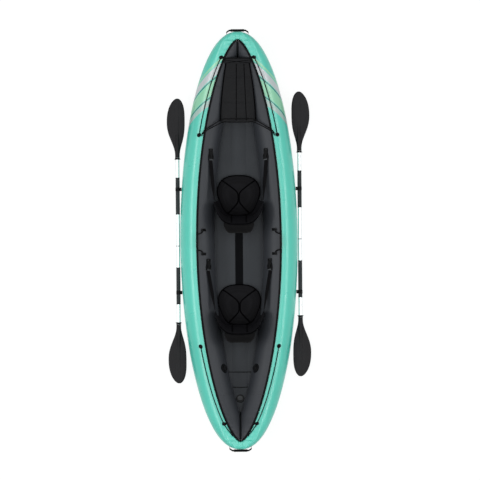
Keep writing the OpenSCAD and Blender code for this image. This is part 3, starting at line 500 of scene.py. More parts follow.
def active(obj: Object) -> None:
    """Select one object alone and make it active."""
    bpy.ops.object.select_all(action="DESELECT")
    obj.select_set(True)
    bpy.context.view_layer.objects.active = obj


def seal(obj: Object) -> Object:
    """Merge an object's doubles, close its holes, turn its faces out and smooth it."""
    active(obj)
    bpy.ops.object.mode_set(mode="EDIT")
    bpy.ops.mesh.select_all(action="SELECT")
    bpy.ops.mesh.remove_doubles(threshold=WELD_GAP)
    bpy.ops.mesh.fill_holes(sides=0)
    bpy.ops.mesh.normals_make_consistent(inside=False)
    bpy.ops.object.mode_set(mode="OBJECT")
    bpy.ops.object.shade_smooth_by_angle(angle=SMOOTH_ANGLE)
    return obj


def grid_piece(name: str, rings: Rows) -> Object:
    """Lay a grid primitive, draw it over rings of points in millimetres, and close it.

    Args:
        name: name of the new object.
        rings: rings of points, all of one length.

    Returns:
        The closed object, with a UV map in metres along and across its rings.
    """
    rows = [ring + ring[:1] for ring in rings]
    count, wide = len(rows), len(rows[0])
    bpy.ops.object.select_all(action="DESELECT")
    bpy.ops.mesh.primitive_grid_add(x_subdivisions=wide - 1, y_subdivisions=count - 1, size=1)
    obj = bpy.context.object
    obj.name = obj.data.name = name
    flat = [c * MM for row in rows for point in row for c in point]
    obj.data.vertices.foreach_set("co", flat)
    spans = []
    for row in rows:
        span = [0.0]
        for a, b in zip(row, row[1:]):
            span.append(span[-1] + (b - a).length * MM)
        spans.append(span)
    steps = [0.0]
    for a, b in zip(rows, rows[1:]):
        steps.append(steps[-1] + max((q - p).length for p, q in zip(a, b)) * MM)
    layer = obj.data.uv_layers[0].data
    for loop in obj.data.loops:
        i, j = divmod(loop.vertex_index, wide)
        layer[loop.index].uv = (spans[i][j], steps[i])
    return seal(obj)


def join(pieces: Sequence[Object], name: str) -> Object:
    """Join several objects into one under a name."""
    active(pieces[0])
    for piece in pieces:
        piece.select_set(True)
    bpy.ops.object.join()
    made = bpy.context.object
    made.name = made.data.name = name
    return made


def copied(obj: Object, name: str, shift: Vector) -> Object:
    """Copy an object with its own mesh and none of its marks, moved by millimetres."""
    active(obj)
    bpy.ops.object.duplicate(linked=False)
    made = bpy.context.object
    for mark in [key for key in made.keys() if key.startswith("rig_")]:
        del made[mark]
    made.name = made.data.name = name
    made.data.transform(Matrix.Translation(shift * MM))
    return made


def curve_through(points: Sequence[Vector], step: float) -> list[Vector]:
    """Draw a smooth line through points, with a new point about every step in millimetres."""
    last = len(points) - 1
    line = []
    for i in range(last):
        p = [points[max(0, min(last, i + k))] for k in (-1, 0, 1, 2)]
        parts = max(1, round((p[2] - p[1]).length / step))
        for k in range(parts):
            t = k / parts
            line.append(0.5 * (2 * p[1] + (p[2] - p[0]) * t
                               + (2 * p[0] - 5 * p[1] + 4 * p[2] - p[3]) * t * t
                               + (3 * p[1] - p[0] - 3 * p[2] + p[3]) * t ** 3))
    return line + [points[-1].copy()]


def tube_rows(path: Sequence[Vector], radius: Radius, sides: int, closed: bool = False) -> Rows:
    """Rings of a round cord along a path.

    Args:
        path: points of the middle line.
        radius: radius at a distance along the path and an angle in degrees.
        sides: points in a ring.
        closed: whether the path is a loop.

    Returns:
        The rings, with the first repeated at the end of a loop.
    """
    n = len(path)
    angles = [360 * k / sides for k in range(sides)]
    rows, run, up = [], 0.0, Z_AXIS
    for i, point in enumerate(path):
        before = path[i - 1] if closed or i else path[i]
        after = path[(i + 1) % n] if closed or i < n - 1 else path[i]
        tangent = (after - before).normalized()
        side = tangent.cross(up).normalized()
        up = side.cross(tangent)
        run += (point - path[i - 1]).length if i else 0.0
        rows.append([point + radius(run, a) * (cos_deg(a) * side + sin_deg(a) * up)
                     for a in angles])
        up = (up + Z_AXIS * 0.25).normalized()
    return rows + [[p.copy() for p in rows[0]]] if closed else rows


def even(radius: float) -> Radius:
    """Radius of a round cord, the same all along it."""
    return lambda s, a: radius


def oval(wide: float, high: float) -> Radius:
    """Radius of an oval cord, from its half width and half height."""
    return lambda s, a: 1 / math.hypot(cos_deg(a) / wide, sin_deg(a) / high)


def band_rows(path: Sequence[Vector], across: Sequence[Vector], width: float,
              thickness: float) -> Rows:
    """Rings of a flat tape with rounded edges along a path.

    Args:
        path: points of the middle line.
        across: direction over the tape at each point.
        width: width of the tape.
        thickness: thickness of the tape.

    Returns:
        The rings.
    """
    n = len(path)
    over = [(0.5, 0.2), (0.46, 0.5), (0.25, 0.5), (0, 0.5), (-0.25, 0.5), (-0.46, 0.5), (-0.5, 0.2)]
    shape = over + [(-u, -v) for u, v in over]
    rows = []
    for i, point in enumerate(path):
        tangent = (path[min(i + 1, n - 1)] - path[max(i - 1, 0)]).normalized()
        side = (across[i] - tangent * across[i].dot(tangent)).normalized()
        normal = side.cross(tangent)
        rows.append([point + side * width * u + normal * thickness * v for u, v in shape])
    return rows


def turned_rows(start: Vector, axis: Vector, profile: Sequence[tuple[float, float]]) -> Rows:
    """Rings of a piece turned about an axis.

    Args:
        start: point on the axis.
        axis: direction of the axis.
        profile: distances along the axis with the radius at each.

    Returns:
        The rings.
    """
    along = axis.normalized()
    side = along.cross(Z_AXIS if abs(along.z) < 0.9 else X_AXIS).normalized()
    up = side.cross(along)
    angles = [360 * k / TURN_SIDES for k in range(TURN_SIDES)]
    return [[start + along * d + r * (cos_deg(a) * side + sin_deg(a) * up) for a in angles]
            for d, r in profile]


def plump(obj: Object, held: Callable[[Vector], bool], pressure: float, cap_mm: float) -> None:
    """Swell a closed form with cloth pressure while its sewn lines and flat side stay.

    Args:
        obj: closed mesh, slightly smaller than the cushion.
        held: tells for a point in millimetres whether it stays.
        pressure: pressure inside.
        cap_mm: most that a point may move.
    """
    active(obj)
    obj.data.remesh_voxel_size = CUSHION_VOXEL * MM
    bpy.ops.object.voxel_remesh()
    rest = [v.co.copy() for v in obj.data.vertices]
    group = obj.vertex_groups.new(name="sewn")
    group.add([v.index for v in obj.data.vertices if held(v.co / MM)], 1.0, "REPLACE")
    cloth = obj.modifiers.new("swell", "CLOTH")
    cloth.settings.use_pressure = True
    cloth.settings.uniform_pressure_force = pressure
    cloth.settings.vertex_group_mass = group.name
    cloth.settings.effector_weights.gravity = 0.0
    cloth.point_cache.frame_start = 1
    cloth.point_cache.frame_end = SWELL_FRAMES
    for step in range(1, SWELL_FRAMES + 1):
        bpy.context.scene.frame_set(step)
    bpy.ops.object.modifier_apply(modifier=cloth.name)
    bpy.context.scene.frame_set(1)
    for vertex, start in zip(obj.data.vertices, rest):
        move = vertex.co - start
        if move.length > cap_mm * MM:
            vertex.co = start + move.normalized() * cap_mm * MM
    obj.vertex_groups.clear()
    soft = obj.modifiers.new("soft", "SUBSURF")
    soft.levels = soft.render_levels = 1
    bpy.ops.object.modifier_apply(modifier=soft.name)
    bpy.ops.object.shade_smooth()


def laid_on(obj: Object, points: Sequence[Vector], towards: Vector,
            proud: float) -> list[Vector]:
    """Drop points in millimetres onto an object along a direction.

    Args:
        obj: mesh to land on.
        points: points outside the mesh.
        towards: direction in which they fall.
        proud: height in millimetres above the surface where they stop.

    Returns:
        The points that land.
    """
    surface = BVHTree.FromObject(obj, bpy.context.evaluated_depsgraph_get())
    hits = [surface.ray_cast(p * MM, towards)[0] for p in points]
    return [h / MM - towards * proud for h in hits if h is not None]


def place(obj: Object, finish: Finish, body: str, slot: str, *nodes: str) -> Object:
    """Dress a piece, hang it on its body and let it stand for the nodes it replaces.

    Args:
        obj: the finished mesh.
        finish: its surface.
        body: body that it rides on.
        slot: material slot; not used.
        nodes: names of the nodes that it stands for.

    Returns:
        The same object.
    """
    finish.dress(obj)
    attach(obj, body)
    if nodes:
        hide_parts(*nodes)
    LOG.info("%s on %s", obj.name, body)
    return obj


@dataclass(frozen=True)
class HullForm:
    """Lines of the hull in millimetres: the right side tube, station by station along Y."""

    half: float = 1650.0
    beam: float = 466.0
    tube_height: float = 280.0
    tube_lift: float = 2.0
    end_rise: float = 275.0
    level_half: float = 680.0
    meet_y: float = 1390.0
    hem_apex: float = 1584.0
    floor_half: float = 194.0
    floor_height: float = 98.0
    beam_groove: float = 4.0
    beam_width: float = 124.0
    hem_half: float = 332.0
    hem_d: float = 12.0
    hem_gap: float = 0.4
    plan_power: float = 0.46
    inner_power: float = 2.2
    tip_power: float = 6.0
    tip_round: float = 0.45
    rocker_power: float = 2.6
    crease_gain: float = 3.5
    hem_power: float = 0.65
    gather_depth: float = 1.5
    gather_width: float = 17.0
    gather_pitch: float = 5.6
    gather_ramp: tuple[float, float] = (1050.0, 420.0)
    fold_depth: float = 1.7
    fold_ramp: tuple[float, float] = (1380.0, 230.0)
    folds_round: int = 13
    drawn_ramp: tuple[float, float] = (900.0, 250.0)

    def along(self, y: float) -> float:
        """Share of the way from amidships to a tip."""
        return min(1.0, abs(y) / self.half)

    def half_width(self, y: float) -> float:
        """Half width over the tubes."""
        return self.beam * max(0.000144, 1 - self.along(y) ** 2) ** self.plan_power

    def inner_edge(self, y: float) -> float:
        """Half width between the tubes at their middle height."""
        share = min(1.0, abs(y) / self.meet_y)
        return max(0.3, self.floor_half * (1 - share ** self.inner_power))

    def tube_a(self, y: float) -> float:
        """Half width of a tube."""
        return (self.half_width(y) - self.inner_edge(y)) / 2

    def tube_x(self, y: float) -> float:
        """Middle of a tube."""
        return (self.half_width(y) + self.inner_edge(y)) / 2

    def tube_b(self, y: float) -> float:
        """Half height of a tube."""
        full = max(0.0004, 1 - self.along(y) ** self.tip_power)
        return self.tube_height / 2 * full ** self.tip_round

    def rocker(self, y: float) -> float:
        """Rise of the bottom towards the ends."""
        share = max(0.0, abs(y) - self.level_half) / (self.half - self.level_half)
        return self.end_rise * share ** self.rocker_power

    def tube_z(self, y: float) -> float:
        """Middle height of a tube."""
        return self.tube_lift + self.tube_height / 2 + self.rocker(y)

    def crest_z(self, y: float) -> float:
        """Top of a tube."""
        return self.tube_z(y) + self.tube_b(y)

    def crease(self, y: float) -> float:
        """Power of the inboard section, which squares up where the tubes close on each other."""
        return 2 + self.crease_gain * self.onset(y, (self.meet_y, self.hem_apex - self.meet_y))

    def onset(self, y: float, ramp: tuple[float, float]) -> float:
        """Share from 0 to 1 over a ramp, given as its start from amidships and its length."""
        return ease((abs(y) - ramp[0]) / ramp[1])

    def hem(self, y: float) -> float:
        """Half width between the hem lines."""
        return self.hem_half * max(0.0, 1 - (y / self.hem_apex) ** 2) ** self.hem_power

    def tube_point(self, y: float, angle: float, out: float) -> Vector:
        """Point of the tube's section.

        Args:
            y: station.
            angle: degrees, with 0 outboard, 90 at the crest and 180 inboard.
            out: distance above the skin.

        Returns:
            The point.
        """
        c, s = cos_deg(angle), sin_deg(angle)
        n = 2.0 if c >= 0 else self.crease(y)
        a, b = self.tube_a(y), self.tube_b(y)
        normal = Vector((c / max(1.0, a), 0, s / max(1.0, b))).normalized()
        return Vector((self.tube_x(y) + a * signed_power(c, 2 / n), y,
                       self.tube_z(y) + b * signed_power(s, 2 / n))) + normal * out

    def hem_angle(self, y: float, gap: float) -> float:
        """Angle of the hem on the section, with a gap added to its half width."""
        h = (self.hem(y) + gap - self.tube_x(y)) / self.tube_a(y)
        if h >= 0:
            return math.degrees(math.acos(min(0.99, h)))
        return 180 - max(4.0, math.degrees(math.acos(min(1.0, -h) ** (self.crease(y) / 2))))

    def skin_z(self, x: float, y: float) -> float:
        """Height of the right tube's upper skin above a point in plan."""
        h = (x - self.tube_x(y)) / self.tube_a(y)
        n = 2.0 if h >= 0 else self.crease(y)
        return self.tube_z(y) + self.tube_b(y) * max(0.0, 1 - abs(h) ** n) ** (1 / n)

    def clear_x(self, y: float, z: float) -> float:
        """Half width between the tubes at a height."""
        n = self.crease(y)
        h = min(1.0, abs(z - self.tube_z(y)) / self.tube_b(y))
        return self.tube_x(y) - self.tube_a(y) * (1 - h ** n) ** (1 / n)

    def floor_top(self, x: float, y: float) -> float:
        """Top of the floor's three air beams."""
        swell = math.sqrt(abs(cos_deg(180 * x / self.beam_width)))
        return self.rocker(y) + self.floor_height - self.beam_groove * (1 - swell)

    def hem_point(self, y: float) -> Vector:
        """Middle of the hem piping on the right side."""
        top = self.skin_z(self.hem(y), y)
        if abs(y) > self.meet_y:
            top = max(top, self.crest_z(y))
        return Vector((self.hem(y), y, top + self.hem_d / 2 + self.hem_gap))

    def pucker(self, y: float, angle: float, hem_angle: float) -> float:
        """Depth of the gathers that the welds draw into the skin towards bow and stern."""
        off = min(abs(angle - hem_angle), abs(angle - 360 + hem_angle), abs(angle + hem_angle))
        far = abs(y)
        wave = math.sin(far / self.gather_pitch + 0.6 * math.sin(far / 23))
        near_hem = math.exp(-(off / self.gather_width) ** 2)
        beside = self.gather_depth * near_hem * self.onset(y, self.gather_ramp) * wave
        swirl = math.sin(math.radians(angle) * self.folds_round + far / 60)
        radial = self.fold_depth * swirl * self.onset(y, self.fold_ramp)
        drawn = self.fold_depth * self.onset(y, self.drawn_ramp)
        return (beside + radial - drawn) * ease((1 + cos_deg(angle)) / 0.5)

    def slopes(self, x: float, y: float) -> tuple[float, float]:
        """Slopes of the upper skin along X and along Y."""
        return ((self.skin_z(x + 1, y) - self.skin_z(x - 1, y)) / 2,
                (self.skin_z(x, y + 1) - self.skin_z(x, y - 1)) / 2)


FORM = HullForm()


@dataclass
class Hull:
    """Side tubes, floor, hem, seam tapes and the strip along the floor."""

    stations: int = 300
    outer_steps: int = 44
    inner_steps: int = 36
    hem_steps: int = 240
    floor_steps: int = 160
    weld_gap: float = 0.3
    inner_stop: float = 6.0
    bite: float = 0.4
    wall_foot: float = 0.22
    wall_rise: float = 0.68
    wall_reach: float = 40.0
    foot_reach: float = 12.0
    shoulder: float = 2.5
    floor_end: float = 1166.7
    end_round: float = 110.0
    panel_gap: float = 0.6
    panel_end: float = 1378.0
    panel_drop: float = 45.0
    panel_thick: float = 16.0
    panel_run_on: float = 75.0
    hem_tape_half: float = 8.5
    hem_tape_stop: float = 14.0
    hem_tape_sunk: float = 4.0
    hem_tape_proud: float = 1.2
    hem_tape_rim: float = 0.3
    tape_width: float = 8.0
    tape_thick: float = 2.4
    floor_seam_y: float = 1046.0
    ring_y: float = 1216.0
    ring_foot: float = 192.0
    ring_width: float = 7.0
    edge_r: float = 3.0
    closing_r: float = 6.0
    nose_half: float = 15.0
    nose_depth: float = 9.0
    strip_half: float = 31.0
    strip_ends: tuple[float, float] = (-657.0, 503.0)
    strip_height: float = 2.4
    strip_round: float = 1.2

    @property
    def panel_start(self) -> float:
        """Where the panel that closes the floor begins."""
        return self.floor_end + self.panel_gap

    def panel_rows(self, outer: bool) -> Rows:
        """Rings of the right outer or inner panel.

        Args:
            outer: whether it is the outer panel.

        Returns:
            The rings from stern to bow.
        """
        rows = []
        for y in bunched(FORM.half, self.stations):
            if not outer and abs(y) > FORM.hem_apex - self.inner_stop:
                continue
            top = FORM.hem_angle(y, self.weld_gap if outer else -self.weld_gap)
            if outer:
                steps = self.outer_steps
                angles = [top * (2 * k / steps - 1) for k in range(steps + 1)]
            else:
                steps = self.inner_steps
                angles = [top + (360 - 2 * top) * k / steps for k in range(steps + 1)]
            rows.append([FORM.tube_point(y, a, min(0.0, FORM.pucker(y, a, top))) for a in angles])
        return rows

    def floor_rows(self) -> Rows:
        """Rings of the floor chamber, whose underside rounds up at both ends."""
        rows = []
        for y in bunched(self.floor_end, self.floor_steps):
            near = max(0.0, 1 - (self.floor_end - abs(y)) / self.end_round)
            lift = (FORM.floor_height - self.panel_thick) * (1 - math.sqrt(1 - near * near))
            base, high = FORM.rocker(y) + lift, FORM.floor_height - lift
            edge = FORM.inner_edge(y)
            levels = [base + high * (self.wall_foot + self.wall_rise * k / 9) for k in range(10)]
            side = [Vector((min(FORM.clear_x(y, z) + self.bite, edge + self.wall_reach), y, z))
                    for z in levels]
            half = side[-1].x - self.shoulder
            xs = [half * (1 - k / 30) for k in range(61)]
            top = [Vector((x, y, FORM.floor_top(x, y))) for x in xs]
            out = min(edge + self.foot_reach, FORM.clear_x(y, base) + self.bite)
            foot = [Vector((out, y, base))]
            rows.append(foot + side + top + other_side(side[::-1]) + other_side(foot))
        return rows

    def deck_z(self, x: float, y: float) -> float:
        """Top of the floor, or of the panel that closes it beyond its end."""
        if abs(y) <= self.floor_end:
            return FORM.floor_top(x, y)
        start = self.panel_start
        t = (abs(y) - start) / (self.panel_end - start)
        return mix(FORM.tube_z(start), FORM.tube_z(self.panel_end), t) - self.panel_drop

    def end_panel_rows(self) -> Rows:
        """Rings of the panel that closes the floor and runs on below where the tubes meet."""
        rows = []
        for y in spread(self.panel_start, self.panel_end + self.panel_run_on, 30):
            top = self.deck_z(0, y)
            low = top - self.panel_thick
            over, under = FORM.clear_x(y, top) + self.bite, FORM.clear_x(y, low) + self.bite
            crown = [Vector((over * (1 - k / 8), y, top)) for k in range(17)]
            rows.append(crown + [Vector((-under, y, low)), Vector((under, y, low))])
        return rows

    def hem_path(self) -> list[Vector]:
        """Middle line of the hem piping, as one loop."""
        right = [FORM.hem_point(y) for y in bunched(FORM.hem_apex, self.hem_steps)]
        return right + other_side(right[-2:0:-1])

    def build(self) -> None:
        """Build and dress the hull's pieces."""
        outer, inner = self.panel_rows(True), self.panel_rows(False)
        for side in Side:
            skin = grid_piece(f"{side.label}_outer_skin", side.turned(outer))
            place(skin, TEAL, "hull", "pvc_teal", f"{side.label}_outer_panel")
            skin = grid_piece(f"{side.label}_inner_skin", side.turned(inner))
            place(skin, CHARCOAL, "hull", "pvc_grey", f"{side.label}_inner_panel")
        floor = grid_piece("floor_skin", self.floor_rows())
        place(floor, FLOOR, "hull", "floor_pvc", "floor_chamber")
        panel = self.end_panel_rows()
        ends = [grid_piece(f"end_panel_{end.label}", end.turned(panel)) for end in End]
        place(join(ends, "end_panel_skins"), FLOOR, "hull", "floor_pvc", "end_floor_panels")
        hem = tube_rows(self.hem_path(), even(FORM.hem_d / 2), 12, closed=True)
        place(grid_piece("hem_welt", hem), HEM, "hull", "hem_pvc", "hem_piping")
        self.build_tapes()
        self.build_strip()

    def hem_tape_rows(self) -> Rows:
        """Rings of the flat tape under the hem piping on the right side."""
        rows = []
        for y in bunched(FORM.hem_apex - self.hem_tape_stop, self.hem_steps):
            out = Vector((1, (FORM.hem(y - 1) - FORM.hem(y + 1)) / 2)).normalized()
            over, under = [], []
            for k in range(7):
                w = self.hem_tape_half * (k / 3 - 1)
                x, v = max(1.0, FORM.hem(y) + w * out.x), y + w * out.y
                z = FORM.skin_z(x, v)
                proud = self.hem_tape_proud if 0 < k < 6 else self.hem_tape_rim
                over.append(Vector((x, v, z + proud)))
                under.append(Vector((x, v, z - self.hem_tape_sunk)))
            rows.append(over + under[::-1])
        return rows

    def floor_tape(self, y: float) -> Rows:
        """Rings of a tape across the floor at a place along the hull."""
        half = FORM.clear_x(y, self.deck_z(0, y)) - 2
        path = [Vector((x, y, self.deck_z(x, y) + 0.6)) for x in fan(half, 15)]
        return band_rows(path, [Y_AXIS] * len(path), self.tape_width, self.tape_thick)

    def edge_path(self) -> list[Vector]:
        """Line where the floor meets the right tube."""
        ys = fan(self.panel_end, 150)
        tops = [self.deck_z(0, y) for y in ys]
        return [Vector((FORM.clear_x(y, z) - 1, y, z + 0.5)) for y, z in zip(ys, tops)]

    def tube_tape(self) -> Rows:
        """Rings of a narrow tape round the right inner panel, from the hem down to the floor."""
        y = self.ring_y
        top = FORM.hem_angle(y, 0)
        path = [FORM.tube_point(y, angle, 0.2) for angle in spread(top, self.ring_foot, 24)]
        return band_rows(path, [Y_AXIS] * len(path), self.ring_width, self.tape_thick)

    def closing_path(self) -> list[Vector]:
        """Line that rises where the two tubes meet and runs along their notch to the bow."""
        start, foot = FORM.meet_y - 13, self.deck_z(0, self.panel_end) - 6
        notch = [Vector((0, y, FORM.skin_z(6.5, y) + 0.5))
                 for y in spread(start, FORM.hem_apex + 2, 40)]
        rise = [Vector((0, start - 9 + 1.5 * k, mix(foot, notch[0].z, k / 6))) for k in range(6)]
        return rise + notch

    def nose_rows(self) -> Rows:
        """Rings of the skin that bridges the two outer panels beyond the hem's apex."""
        rows = []
        shares = [1 - k / 8 for k in range(17)]
        for y in spread(FORM.hem_apex - 2, FORM.half - 5, 14):
            half = min(self.nose_half, 0.5 * FORM.half_width(y))
            top = FORM.skin_z(half, y)
            over = [Vector((half * s, y, top + 0.4 - s ** 4)) for s in shares]
            low = top - self.nose_depth
            rows.append(over + [Vector((-half, y, low)), Vector((half, y, low))])
        return rows

    def build_tapes(self) -> None:
        """Build the tapes along the hem, the floor and the closed ends, and the noses."""
        hem, edge = self.hem_tape_rows(), tube_rows(self.edge_path(), even(self.edge_r), 8)
        tapes = [grid_piece("tape", side.turned(rows)) for rows in (hem, edge) for side in Side]
        ahead = [tube_rows(self.closing_path(), even(self.closing_r), 10)]
        ahead += [self.floor_tape(y) for y in (self.floor_seam_y, self.floor_end)]
        ring, nose = self.tube_tape(), self.nose_rows()
        rings = []
        for end in End:
            tapes += [grid_piece("tape", end.turned(rows)) for rows in ahead]
            rings += [grid_piece("ring", end.turned(side.turned(ring))) for side in Side]
        place(join(tapes, "seam_tapes"), HEM, "hull", "hem_pvc")
        place(join(rings, "tube_tapes"), CHARCOAL, "hull", "pvc_grey")
        noses = [grid_piece("nose", end.turned(nose)) for end in End]
        place(join(noses, "nose_bridges"), TEAL, "hull", "pvc_teal")

    def build_strip(self) -> None:
        """Build the hook-and-loop strip along the middle beam."""
        xs = fan(self.strip_half, 10)
        top = FORM.floor_height + self.strip_height
        rows = []
        for y in spread(*self.strip_ends, 80):
            over = [Vector((x, y, top - self.strip_round * abs(x / self.strip_half) ** 6))
                    for x in xs]
            under = [Vector((x, y, FORM.floor_top(x, 0) + 0.2)) for x in reversed(xs)]
            rows.append(over + under)
        place(grid_piece("seat_strip", rows), STRIP, "hull", "strip_fabric", "floor_strip")


@dataclass
class Deck:
    """Bow bag with its sewn trim, and the bungees at bow and stern."""

    cord_r: float = 3.5
    wide_tab_y: float = 838.0
    narrow_tab_y: float = 1448.0
    bag_rear: float = 943.0
    bag_front: float = 1446.0
    rear_half: float = 143.0
    front_half: float = 90.0
    bag_drop: float = 34.0
    bag_rise: float = 8.0
    tab_reach: float = 42.0
    tab_end: float = 13.5
    seam_xs: tuple[float, float] = (-14.0, 66.0)
    seam_r: float = 2.6
    tuck_ys: tuple[float, float] = (1093.0, 1291.0)
    tuck_r: float = 2.2
    edge_r: float = 4.5
    flap_y: float = 1422.0
    flap_width: float = 42.0
    flap_thick: float = 3.0
    # Start and end along the hull of each near-black cord on the flap: its rear edge seam, then
    # painted shade along its two creases
    flap_seam_and_crease_shade: tuple[tuple[float, float], ...] = (
        (1440.0, 1440.0), (1404.0, 1425.0), (1423.0, 1403.0))
    shade_cord_r: float = 1.9
    above_z: float = 900.0

    def tab_out(self, y: float) -> float:
        """Distance of the cord tabs from the middle."""
        share = 0.45 + 0.55 * FORM.hem(y) / FORM.hem(self.wide_tab_y)
        return FORM.hem(y) + self.tab_reach * share

    def bag_half(self, y: float) -> float:
        """Half width of the bag."""
        t = (y - self.bag_rear) / (self.bag_front - self.bag_rear)
        return self.rear_half + (self.front_half - self.rear_half) * signed_power(t, 1.7)

    def bag_z(self, x: float, y: float) -> float:
        """Top of the bag."""
        half = self.bag_half(y)
        s = min(1.0, abs(x) / half)
        side = max(FORM.crest_z(y) - self.bag_drop, FORM.skin_z(half, y) + self.bag_rise)
        return side + (FORM.crest_z(y) + self.bag_rise - side) * (1 - s ** 2.6) ** 0.6

    def bag_rows(self) -> Rows:
        """Rings of the bag: a soft shell with sags and folds."""
        rows = []
        for i, y in enumerate(spread(self.bag_rear + 1, self.bag_front - 1, 60)):
            w, f = self.bag_half(y), FORM.inner_edge(y) + 8
            under = [Vector((x, y, FORM.skin_z(x, y) + 4)) for x in spread(f, w, 10)]
            over = []
            for k in range(41):
                s = 1 - k / 20
                x = w * math.copysign(1 - (1 - abs(s)) ** 1.5, s)
                fold = (5 * noise.noise(Vector((x / 60, y / 75, 3.0)))
                        + 3 * noise.noise(Vector((x / 25, y / 90, 9.0))))
                calm = (1 - abs(x / w) ** 4) * math.sin(math.pi * i / 60) ** 0.4
                over.append(Vector((x, y, self.bag_z(x, y) - 3 * calm + fold * calm)))
            rows.append(under + over[1:-1] + other_side(under[::-1]))
        return rows

    def side_route(self) -> list[Vector]:
        """Bungee along the right tube between its two tabs."""
        low, high = self.wide_tab_y + self.tab_end, self.narrow_tab_y - self.tab_end
        ys = spread(low, high, 30)
        xs = [self.tab_out(y) for y in ys]
        return [Vector((x, y, FORM.skin_z(x, y) + self.cord_r + 1)) for x, y in zip(xs, ys)]

    def tail_route(self) -> list[Vector]:
        """Bungee from the narrow tab to beside the hem's apex."""
        points = []
        for k in range(9):
            t = k / 8
            y = mix(self.narrow_tab_y + self.tab_end, FORM.hem_apex - 40, t)
            slope = (FORM.hem(y + 1) - FORM.hem(y - 1)) / 2
            x = mix(self.tab_out(y), FORM.hem(y) + 10.5 * math.sqrt(1 + slope * slope), t)
            points.append(Vector((x, y, FORM.skin_z(x, y) + self.cord_r + 0.2)))
        return points

    def cross_route(self, start_y: float, bag_y: float, bow: float) -> list[Vector]:
        """Strand from the right wide tab over hem and bag to the left one.

        Args:
            start_y: where it leaves the tabs.
            bag_y: where it crosses the bag's edge.
            bow: how far it bows forwards in the middle.

        Returns:
            The points of the strand.
        """
        hem_y = mix(start_y, bag_y, 0.32)
        x, half = self.tab_out(self.wide_tab_y) - 21, self.rear_half

        def on_bag(out: float, y: float, rise: float) -> Vector:
            """Point of the strand above the bag's rear edge."""
            return Vector((out, y, self.bag_z(out, self.bag_rear) + self.cord_r + rise))

        over_hem = FORM.hem_point(hem_y).z + FORM.hem_d / 2 + self.cord_r + 3
        right = [Vector((x, start_y, FORM.skin_z(x, start_y) + self.cord_r + 1)),
                 Vector((FORM.hem(hem_y), hem_y, over_hem)),
                 on_bag(half - 12, bag_y, 7), on_bag(half / 2, bag_y + bow, 5)]
        return right + [on_bag(0, bag_y + bow, 5)] + other_side(right[::-1])

    def strand(self, path: Sequence[Vector]) -> Object:
        """Round bungee along a path."""
        return grid_piece("strand", tube_rows(curve_through(path, 8), even(self.cord_r), 10))

    def build(self) -> None:
        """Build and dress the bungees and the bag."""
        side, tail = self.side_route(), self.tail_route()
        crossed = [self.cross_route(self.wide_tab_y + 4, self.bag_rear + 14, 6),
                   self.cross_route(self.wide_tab_y - 7, self.bag_rear - 8, 2)]
        bow = [self.strand(path) for path in [side, other_side(side)] + crossed]
        place(join(bow, "bow_bungee"), BUNGEE, "hull", "bungee", "bow_cords")
        stern = [self.strand(other_end(path))
                 for path in (side, other_side(side), tail, other_side(tail))]
        place(join(stern, "stern_bungee"), BUNGEE, "hull", "bungee", "stern_cords")
        bag = grid_piece("deck_bag", self.bag_rows())
        place(bag, BAG, "hull", "bag_fabric", "bow_bag")
        self.build_seams(bag)
        self.build_flap()

    def sewn(self, cloth: Object, above: Sequence[Vector], proud: float, radius: float) -> Object:
        """Thin cord sewn onto a cloth.

        Args:
            cloth: piece that carries the cord.
            above: points above the cord's line.
            proud: height of the cord's middle over the cloth.
            radius: radius of the cord.

        Returns:
            The cord.
        """
        return grid_piece("seam", tube_rows(laid_on(cloth, above, DOWN, proud), even(radius), 6))

    def build_seams(self, bag: Object) -> None:
        """Sew the tucks, the seams and the edges onto the bag."""
        seams, tucks = [], []
        ys = spread(self.bag_rear + 8, self.bag_front - 50, 40)
        for x in self.seam_xs:
            line = [Vector((x * (1 - 0.25 * k / 40), ys[k], self.above_z)) for k in range(41)]
            seams.append(self.sewn(bag, line, 0.6, self.seam_r))
        for y in self.tuck_ys:
            line = [Vector((x, y, self.above_z)) for x in fan(self.bag_half(y) - 10, 20)]
            tucks.append(self.sewn(bag, line, 0.0, self.tuck_r))
        place(join(tucks, "deck_bag_tucks"), BAG, "hull", "bag_fabric")
        ys = spread(self.bag_rear + 4, self.bag_front - 30, 50)
        edge = [Vector((self.bag_half(y) - 5, y, self.above_z)) for y in ys]
        for line in (edge, other_side(edge)):
            seams.append(self.sewn(bag, line, 0.5, self.edge_r))
        place(join(seams, "deck_bag_seams"), PIPING_AND_SHADE_CORDS, "hull", "bag_fabric")

    def build_flap(self) -> None:
        """Lay the flap over the bag's front end, and near-black cords on it: a seam along its rear
        edge, and painted shade along its two creases.
        """
        y, path = self.flap_y, []
        edge = FORM.hem(y) - 7
        for x in fan(edge, 16):
            skin = FORM.skin_z(abs(x), y)
            z = skin if abs(x) > self.bag_half(y) else self.bag_z(x, y) + 2
            path.append(Vector((x, y, max(z, skin) + 3)))
        line = curve_through(path, 8)
        rows = band_rows(line, [Y_AXIS] * len(line), self.flap_width, self.flap_thick)
        flap = place(grid_piece("deck_bag_flap", rows), BAG, "hull", "bag_fabric")
        xs = fan(edge - 16, 20)
        seam_and_shade_cords = []
        # Near-black cords: the flap's rear edge seam, and painted shade along its two creases
        for ends in self.flap_seam_and_crease_shade:
            line = [Vector((x, y, self.above_z)) for x, y in zip(xs, spread(*ends, 40))]
            seam_and_shade_cords.append(self.sewn(flap, line, 0.2, self.shade_cord_r))
        place(join(seam_and_shade_cords, "deck_bag_flap_folds"), PIPING_AND_SHADE_CORDS, "hull", "bag_fabric")


